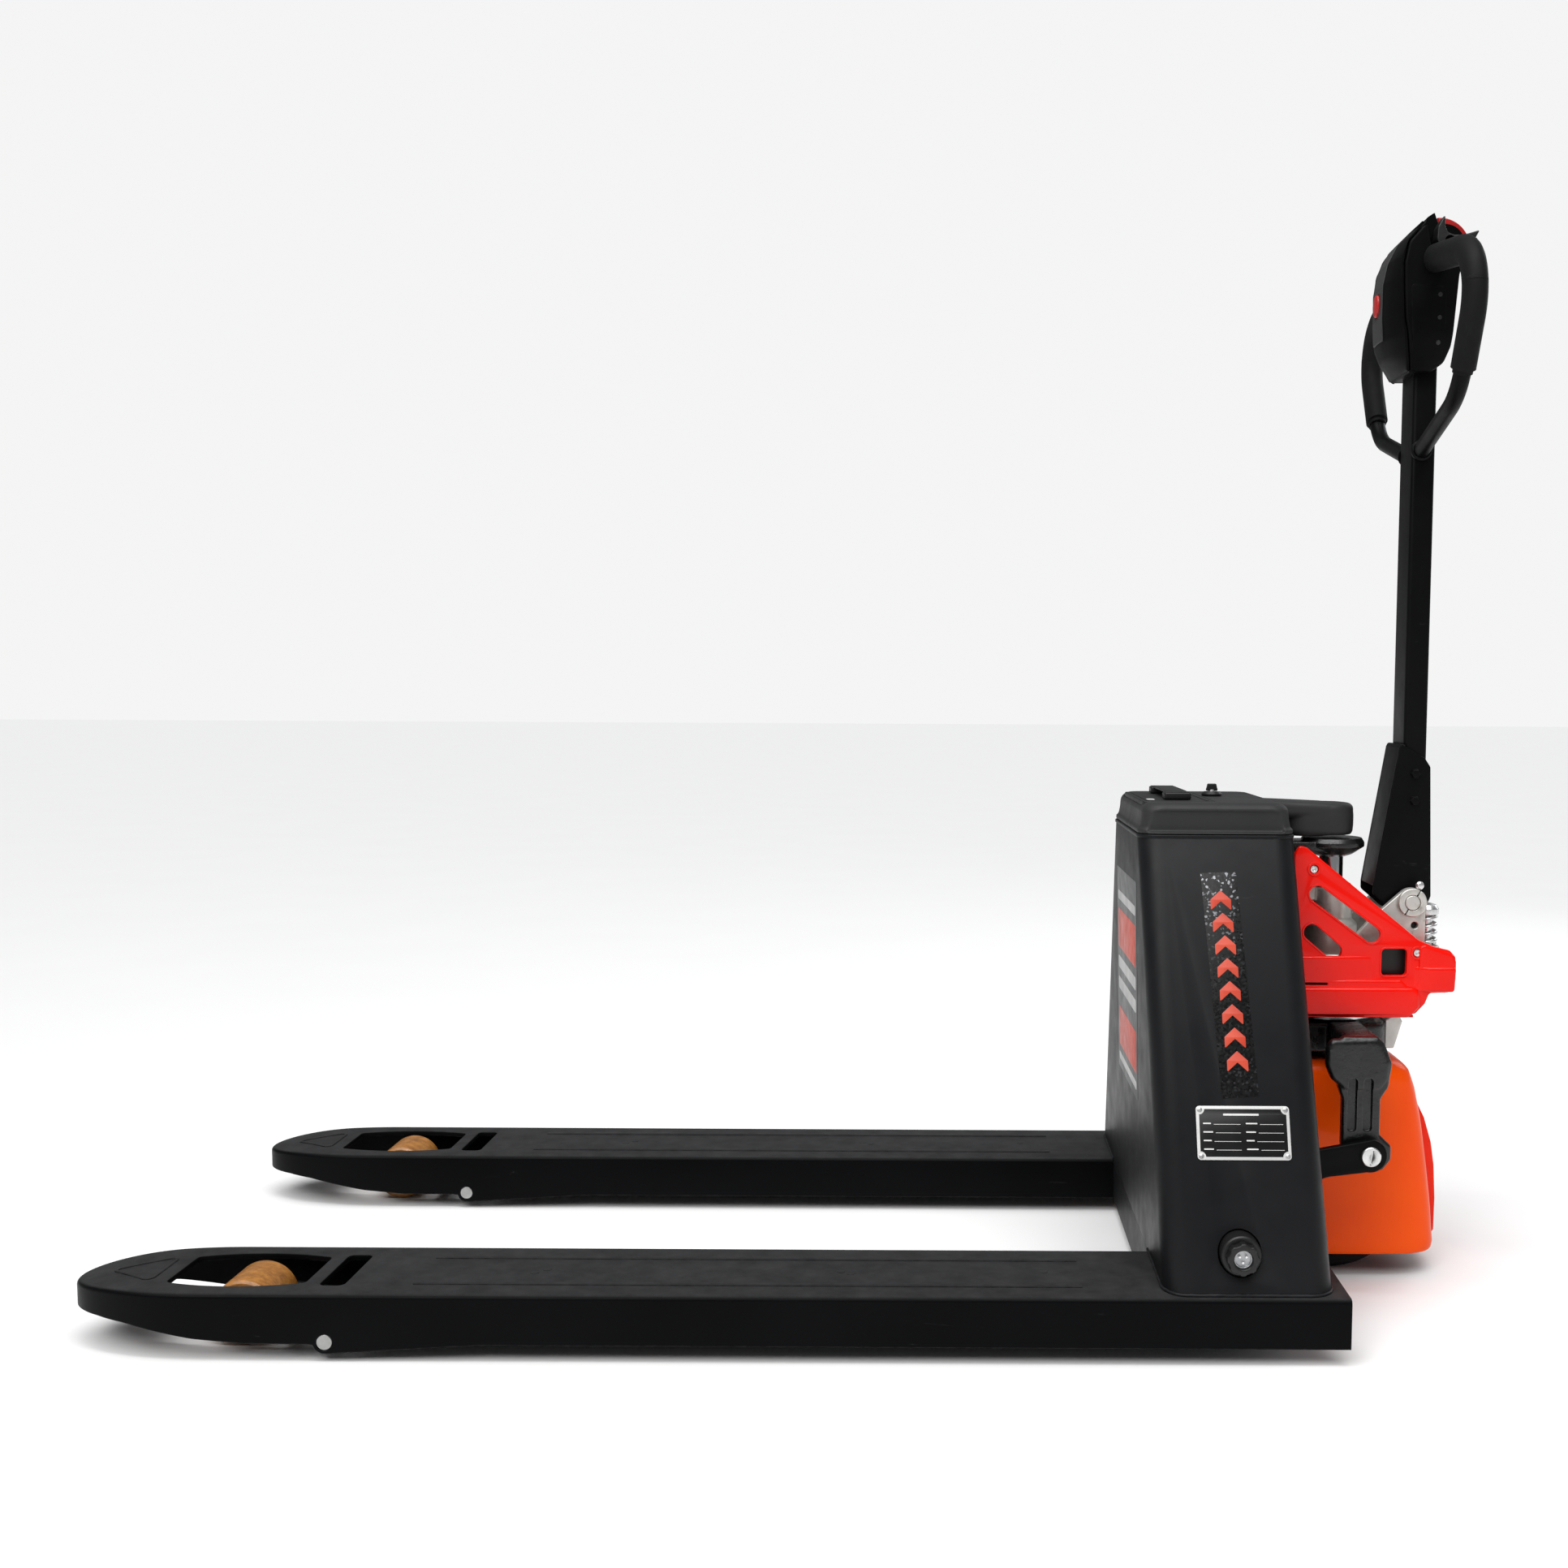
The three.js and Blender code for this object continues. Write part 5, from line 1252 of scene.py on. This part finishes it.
# Tiller pin with a split collar on both ends
shank = [(0, -52), (8.4, -52), (9.4, -51), (9.4, 51), (8.4, 52), (0, 52)]
pin_parts = [lathe("pin", shank, centre(TILLER_PIN), "y", zinc, 48, 0.4)]
SPLIT_ANGLE = math.radians(58)
along = math.cos(SPLIT_ANGLE), math.sin(SPLIT_ANGLE)
across = -math.sin(SPLIT_ANGLE), math.cos(SPLIT_ANGLE)
split = [tuple(TILLER_PIN[i] + along[i] * p + across[i] * q for i in (0, 1))
         for p, q in ((-24, -1), (24, -1), (24, 1), (-24, 1))]
for s in (-1, 1):
    collar = [(9.9, s * 46.4), (18, s * 46.4), (18, s * 50.4), (16.8, s * 51.8), (9.9, s * 51.8)]
    ring = lathe("collar", collar, centre(TILLER_PIN), "y", zinc, 64, 0.5)
    pin_parts.append(cut(ring, tool(split, "y", *span(s, 44, 55))))
put(join("tiller_pin_collars", *pin_parts), "steering", "bright_steel", "tiller_pin")


# ---------------------------------------------------------------- side covers
COVER = [(-20, 440), (-17, 536), (-11, 546), (-2, 544), (137, 431), (158, 422), (176, 418), (183, 410),
         (184, 394), (182, 374), (176, 366), (152, 365), (147, 352), (136, 340), (120, 334.8),
         (-38, 334.8), (-40, 430)]
SLOTS = (((12, 487), (80, 437)), ((6, 440), (33, 417)))
WINDOW = rect(92, 123, 387, 420, 5, 5)
SCREWS = ((7, 517.5), (136, 415))
REAR_BLOCK = fillet([(136, 366), (172, 365.5), (181, 370), (184, 382), (184, 404), (180, 414), (160, 420.5),
                     (138, 428)], 7, 6)
BULGE = [(-38, 335.5), (126, 335.5), (139, 348), (139, 373), (-38, 373)]
FACE = 84.5                      # the raised fields start here, in mm from the middle
FLUSH_RISE = 3.3


def slab(name, loops, s, a, b, edge=1.5, bevels=3, material=red_plastic):
    return plate(name, loops, "y", *span(s, a, b), material, edge, bevels)


def field(name, loop, s, top, edge, flush, proud):
    """Raised part of the face, level with it at x = flush and standing out to top from x = proud."""
    def shape(x, y, z):
        share = max(0, min(1, (x - flush) / (proud - flush)))
        out = max(0, abs(y) - FACE)
        return x, s * (abs(y) - out + out * (FLUSH_RISE / (top - FACE) * (1 - share) + share)), z
    places = [flush + (proud - flush) * k / 6 for k in range(7)]
    return bent(slab(name, [loop], s, 84, top, edge, 4), "x", places, shape)


for side, s in SIDES:
    slots = [bar(a, 10, b, 10) for a, b in SLOTS]
    holes = [circle(x, z, 5.4, 28) for x, z in SCREWS]
    ledge = fillet([(-38, 368), (131, 368), (116, 382), (-38, 382)], 4)
    lower_field = fillet([(-38, 372), (88, 372), (80, 411), (-38, 411)], 3.4)
    rear_field = fillet([(131, 367), (182, 367), (183.4, 398), (131, 398)], 4)
    parts = [slab("face", [fillet(COVER, 5, 5), WINDOW, *slots, *holes], s, 80, 88, 1.6),
             slab("bulge", [fillet(BULGE, [1.5, 9, 9, 24, 1.5], 8)], s, 84, 95.6, 4.6, 5),
             slab("flange", [rect(-37, 132, 335.6, 338.8, 1)], s, 66, 92, 1.2),
             slab("ledge", [ledge], s, 84, 91.4, 3.4, 5),
             slab("rear", [REAR_BLOCK], s, 82, 90, 4.0, 5),
             slab("rear_wall", [REAR_BLOCK, grown(REAR_BLOCK, -3)], s, 48, 87, 1.2),
             field("lower_field", lower_field, s, 91.4, 3.4, 86, 26),
             field("rear_field", rear_field, s, 93.0, 3.6, 132, 152)]
    parts += [slab("rim", [bar(a, 12.3, b, 12.3), bar(a, 9.9, b, 9.9)], s, 86, 88.9, 0.8) for a, b in SLOTS]
    parts.append(slab("rim", [rect(89.8, 125.2, 384.8, 422.2, 7, 5), WINDOW], s, 86, 88.9, 0.8))
    # Painted shade: a black sheet behind the window, standing for the dark inside of the cover.
    parts.append(slab("shade_sheet", [rect(87, 128, 380, 426, 3)], s, 72, 73.6, 0.4, 2, black_plastic))
    for x, z in SCREWS:
        parts.append(slab("boss", [circle(x, z, 8.6, 32), circle(x, z, 5.4, 28)], s, 82, 88.8, 0.9))
        parts.append(pillar("seat", 6, s * 80.5, s * 84.5, (x, 0, z), red_plastic, 28, 0.3))
        screw = [(0, 82), (4.9, 82), (4.9, 87.0), (4.2, 88.0), (2.2, 88.2), (2.0, 86.4), (0, 86.4)]
        parts.append(lathe("screw", [(r, s * h) for r, h in screw], (x, 0, z), "y", steel, 32, 0.3))
    put(join(f"side_cover_{side}_screwed", *parts), "steering", "red_plastic", f"side_cover_{side}")


# ---------------------------------------------------------------- tiller
PLATE = [(167.8, 478), (163, 640.6), (155.6, 651.7), (125.5, 669.5), (123.3, 664.7), (95, 492), (95, 481),
         (122, 458), (138, 454), (160, 460)]
loops = [fillet(PLATE, [4, 6, 6, 2, 2, 6, 6, 10, 10, 8]), circle(*TILLER_PIN, 9.9)]
front_web = [(95.2, 491), (100, 489), (129.6, 664), (132, 669), (125.6, 669.3), (123.4, 664.7)]
bracket = [plate("side", loops, "y", *span(s, 27.4, 31), arm_paint, 1.2, 3) for s in (-1, 1)]
bracket.append(plate("web", [fillet(front_web, 1.5, 3)], "y", -30.4, 30.4, arm_paint, 1.4, 3))
bracket.append(pillar("presser", 8, -28.5, 28.5, (160, 0, 476), steel, 32, 0.8))
for s in (-1, 1):
    for z in (598, 632):
        bolt = [(0, s * 30), (6.4, s * 30), (6.4, s * 33), (5.0, s * 34.6), (0, s * 35)]
        bracket.append(lathe("bolt", bolt, (144, 0, z), "y", arm_paint, 6, 0.3))
put(join("tiller_bracket_pressed", *bracket), "tiller", "black_powder_coat", "tiller_bracket")

loops = [rect(130, 159, -27, 27, 5, 6), rect(133, 156, -24, 24, 2.5, 6)]
drawn = plate("tiller_tube_drawn", loops, "z", 560, 1150, arm_paint, 0.6)
put(drawn, "tiller", "black_powder_coat", "tiller_tube")

LOOP_X = 141
LOOP_ROUTE = ((62.5, 1252.4), (206, 1228), (216, 1168), (166, 1072), (27.4, 1030.2))
GRIP_FLAT = 0.84                 # the foam is this much thinner fore and aft than across


def grip_shape(x, y, z):
    return LOOP_X + (x - LOOP_X) * GRIP_FLAT, y, z


for side, s in SIDES:
    route = [(LOOP_X, s * y, z) for y, z in LOOP_ROUTE]
    path = smooth_path(route, [0, 46, 22, 34, 0], 12)
    weld = [(r, s * (27.3 + h)) for r, h in ((10, 0), (13.5, 0), (12.8, 3.0), (10, 5.0))]
    loop = join(f"loop_{side}_bent", tube("tube", path, 10, arm_paint, 8),
                lathe("weld", weld, (LOOP_X, 0, 1030.6), "y", arm_paint, 32, 0.8))
    put(loop, "tiller", "black_powder_coat", f"loop_{side}")
    foam_path = resample(smooth_path(route[:3] + [(LOOP_X, s * 178, 1095)], [0, 46, 22, 0], 16), 3.0)
    sleeve = join(f"grip_{side}_foam", tube("foam", foam_path[:-2], 16.8, foam, 10),
                  tube("end", foam_path[-5:], 13.6, foam, 10))
    put(bent(sleeve, "x", [], grip_shape), "tiller", "foam", f"grip_{side}")


# ---------------------------------------------------------------- control head
BARREL = (158.5, 1274)
HOUSING = 40.3                   # half width of the housing between the throttle wings
WAIST_LOW, WAIST_REACH, WAIST = 1119, 52, 0.56
GROOVE = [(135, 1300.5), (110.2, 1272.8), (105.4, 1247.7), (106.2, 1219), (108.3, 1183), (115, 1149),
          (122, 1123.7)]
FRONT = [(125, 1123.6), (117, 1125), (99, 1142), (91.5, 1163), (89.8, 1190), (90.2, 1230.6), (95.8, 1256.5),
         (107.3, 1279), (125, 1297.5), (131, 1302.6)]
WING_ROOM = [(137, 1261.5), (150, 1255.8), (181, 1254), (240, 1254), (240, 1380), (131, 1380), (131, 1288)]
TOP_TRIM = [(100, 1284), (122, 1290), (150, 1294), (150, 1400), (100, 1400)]
SEAM_GAP = 1.3                   # between the front of the head and its shell


def waisted(x, y, z):
    """The head narrows towards its lower end."""
    t = max(0, min(1, (z - WAIST_LOW) / WAIST_REACH))
    return x, y * (WAIST + (1 - WAIST) * math.sin(t * math.pi / 2)), z


def crowned(x, y, z):
    """The front of the head is rounded in plan: full depth in the middle, thin at the sides."""
    front_x = between([(v, u) for u, v in FRONT], z)
    back_x = between([(v, u - SEAM_GAP) for u, v in reversed(GROOVE)], z)
    depth = back_x - front_x
    share = max(0, min(1, (back_x - x) / depth)) if depth > 0.5 else 0
    return waisted(x + share * max(0, depth - 3.2) * (abs(y) / 60) ** 2.4, y, z)


def over_barrel(low, high, start, stop):
    return arc(*BARREL, high, start, stop, 20) + arc(*BARREL, low, stop, start, 20)


def beside_housing(loop):
    """Cuts both sides back to the housing."""
    return [tool(loop, "y", low, high) for low, high in ((HOUSING, 90), (-90, -HOUSING))]


side_view = GROOVE + [(148, 1124), (160, 1133), (165, 1150), (172, 1238), (196.6, 1262)]
side_view += arc(*BARREL, 40, -0.25, math.pi * 0.62, 26) + [(137, 1306.8)]
radii = [2, 14, 14, 14, 14, 14, 3, 8, 10, 12, 14, 6] + [0] * 27 + [3]
head = plate("head_shell_moulded", [fillet(side_view, radii, 6)], "y", -62, 62, head_plastic, 3, 4)
cut(head, *beside_housing(TOP_TRIM), *beside_housing(WING_ROOM),
    tool(over_barrel(25, 70, 0.22, 1.90), "y", -50, 50),
    tool(over_barrel(17.5, 70, 0.26, 1.84), "y", -20.8, 20.8))
panel = [(119.5, 1131), (152, 1131), (155.5, 1135), (155.5, 1215), (151, 1220), (113.5, 1223), (115.5, 1183)]
panel = fillet(panel, 4, 5)
extras = []
for s in (-1, 1):
    extras.append(plate("panel", [panel], "y", *span(s, 61, 62.7), head_plastic, 0.7))
    for z in (1154, 1183, 1210):
        hole = circle(148.5, z, 2.6, 20)
        extras.append(plate("hole", [hole], "y", *span(s, 62.4, 63.0), black_plastic, 0.2))
WAIST_CUTS = range(1126, 1178, 6)
shell = bent(join("head_shell_panels", head, *extras), "z", WAIST_CUTS, waisted)
put(shell, "tiller", "head_plastic", "head_shell")

radii = [3, 7, 18, 18, 16, 16, 14, 12, 4, 1.5] + [1, 14, 14, 14, 14, 14, 2]
front = fillet(FRONT + [(u - SEAM_GAP, v) for u, v in GROOVE], radii, 6)
nose = plate("head_front_moulded", [front], "y", -60, 60, head_plastic)
cut(nose, *beside_housing(TOP_TRIM))
bent(nose, "z", WAIST_CUTS, lambda x, y, z: (x, y, z))
put(bent(nose, "y", range(-54, 55, 6), crowned), "tiller", "head_plastic", "head_front")

STRIP = [(91.3, 1164), (90.4, 1176), (89.8, 1190), (90.2, 1230.6), (95.8, 1256.5), (107.3, 1279), (117, 1289)]
HORN_Z = 1210
outline = [(u - 0.7, v) for u, v in STRIP] + [(u + 5, v) for u, v in reversed(STRIP)]
outline = fillet(outline, [2, 14, 16, 16, 16, 14, 2, 2, 12, 14, 14, 14, 12, 2], 5)
strip = plate("head_strip_moulded", [outline], "y", -19.6, 19.6, trim_plastic, 1.0, 3)


def oval(a, b, count=48):
    angles = [2 * math.pi * i / count for i in range(count)]
    return [(a * math.cos(t), HORN_Z + b * math.sin(t)) for t in angles]


cut(strip, tool(oval(11.5, 14.3), "x", 70, 120))
put(strip, "tiller", "grey_plastic", "head_strip")
horn = plate("horn_button_oval", [oval(10.9, 13.7)], "x", 86.2, 99.5, button_plastic, 2.6, 4)
put(horn, "horn_button", "button_red", "horn_button")
outline = over_barrel(24, 38.6, 0.43, 1.64)
belly = plate("belly_button_arc", [outline], "y", -19.8, 19.8, button_plastic, 2.0, 4)
put(belly, "belly_button", "button_red", "belly_button")

WING = [(152.3, 1305), (152.5, 1290), (156, 1283.5), (164, 1280.5), (176, 1281), (194.5, 1286.5), (186, 1271),
        (172, 1262), (160, 1260.5), (148, 1264), (143, 1276), (144, 1290)]
wing = fillet(WING, [1, 5, 4, 5, 12, 1.2, 8, 8, 8, 8, 8, 8], 6)
wings = [pillar("shaft", 8, -61, 61, centre(BARREL), black_plastic, 40, 0.8)]
for s in (-1, 1):
    wings.append(plate("wing", [wing], "y", *span(s, 40.8, 61.8), black_plastic, 1.6, 3))
    for r, out, finish in ((6.5, 61.8, black_plastic), (2.4, 62, steel)):
        wings.append(pillar("cap", r, s * 58, s * out, centre(BARREL), finish))
put(join("throttle_wings", *wings), "throttle", "head_plastic", "throttle")


# ---------------------------------------------------------------- studio
FLOOR = 40.0
floor_mesh = bpy.data.meshes.new("studio_floor")
corners = [(-FLOOR, -FLOOR, 0), (FLOOR, -FLOOR, 0), (FLOOR, FLOOR, 0), (-FLOOR, FLOOR, 0)]
floor_mesh.from_pydata(corners, [], [(0, 1, 2, 3)])
floor = add_object("studio_floor", floor_mesh)
paper = Nodes("studio_paper")
shade = paper.mix(paper.ramp(paper.noise(3, 3), 0.3, 0.7, 0, 1), (0.885, 0.885, 0.885), (0.895, 0.895, 0.895))
roughness = paper.ramp(paper.noise(20, 3), 0.3, 0.7, 0.75, 0.85)
floor_mesh.materials.append(paper.finish(shade, roughness, specular=0.1))

# The camera sees a nearly white backdrop; the light from it is weaker
world = bpy.data.worlds.new("studio")
bpy.context.scene.world = world
world.use_nodes = True
nodes, links = world.node_tree.nodes, world.node_tree.links
nodes.clear()
choose = nodes.new("ShaderNodeMixShader")
links.new(nodes.new("ShaderNodeLightPath").outputs["Is Camera Ray"], choose.inputs[0])
for place_in, colour, strength in ((1, (0.97, 0.985, 1, 1), 0.21), (2, (1, 1, 1, 1), 0.91)):
    backdrop = nodes.new("ShaderNodeBackground")
    backdrop.inputs[0].default_value = colour
    backdrop.inputs[1].default_value = strength
    links.new(backdrop.outputs[0], choose.inputs[place_in])
links.new(choose.outputs[0], nodes.new("ShaderNodeOutputWorld").inputs[0])


def lamp(light, direction, at=(0, 0, 0)):
    holder = add_object(light.name, light)
    holder.location = at
    holder.rotation_euler = Vector(direction).to_track_quat("-Z", "Y").to_euler()


def softbox(name, at, towards, size, power, colour=(1, 1, 1)):
    light = bpy.data.lights.new(name, "AREA")
    light.shape = "RECTANGLE"
    light.size, light.size_y = size
    light.energy = power
    light.color = colour
    lamp(light, Vector(towards) - Vector(at), at)


ceiling = bpy.data.lights.new("ceiling", "SUN")
ceiling.angle = 1.2
ceiling.energy = 2.65
lamp(ceiling, (0.15, 0.32, -1))
softbox("strip", (0.3, -0.95, 2.6), (0.5, 0, 0.4), (2.2, 0.06), 17)
softbox("key", (-1.6, -2.6, 2.6), (0.3, 0, 0.4), (1.6, 1.2), 26, (1, 0.985, 0.96))
softbox("rear_fill", (2.8, 1.8, 1.9), (0.4, 0, 0.5), (1.6, 1.6), 20, (0.96, 0.98, 1))
bpy.context.scene.view_settings.view_transform = "Standard"
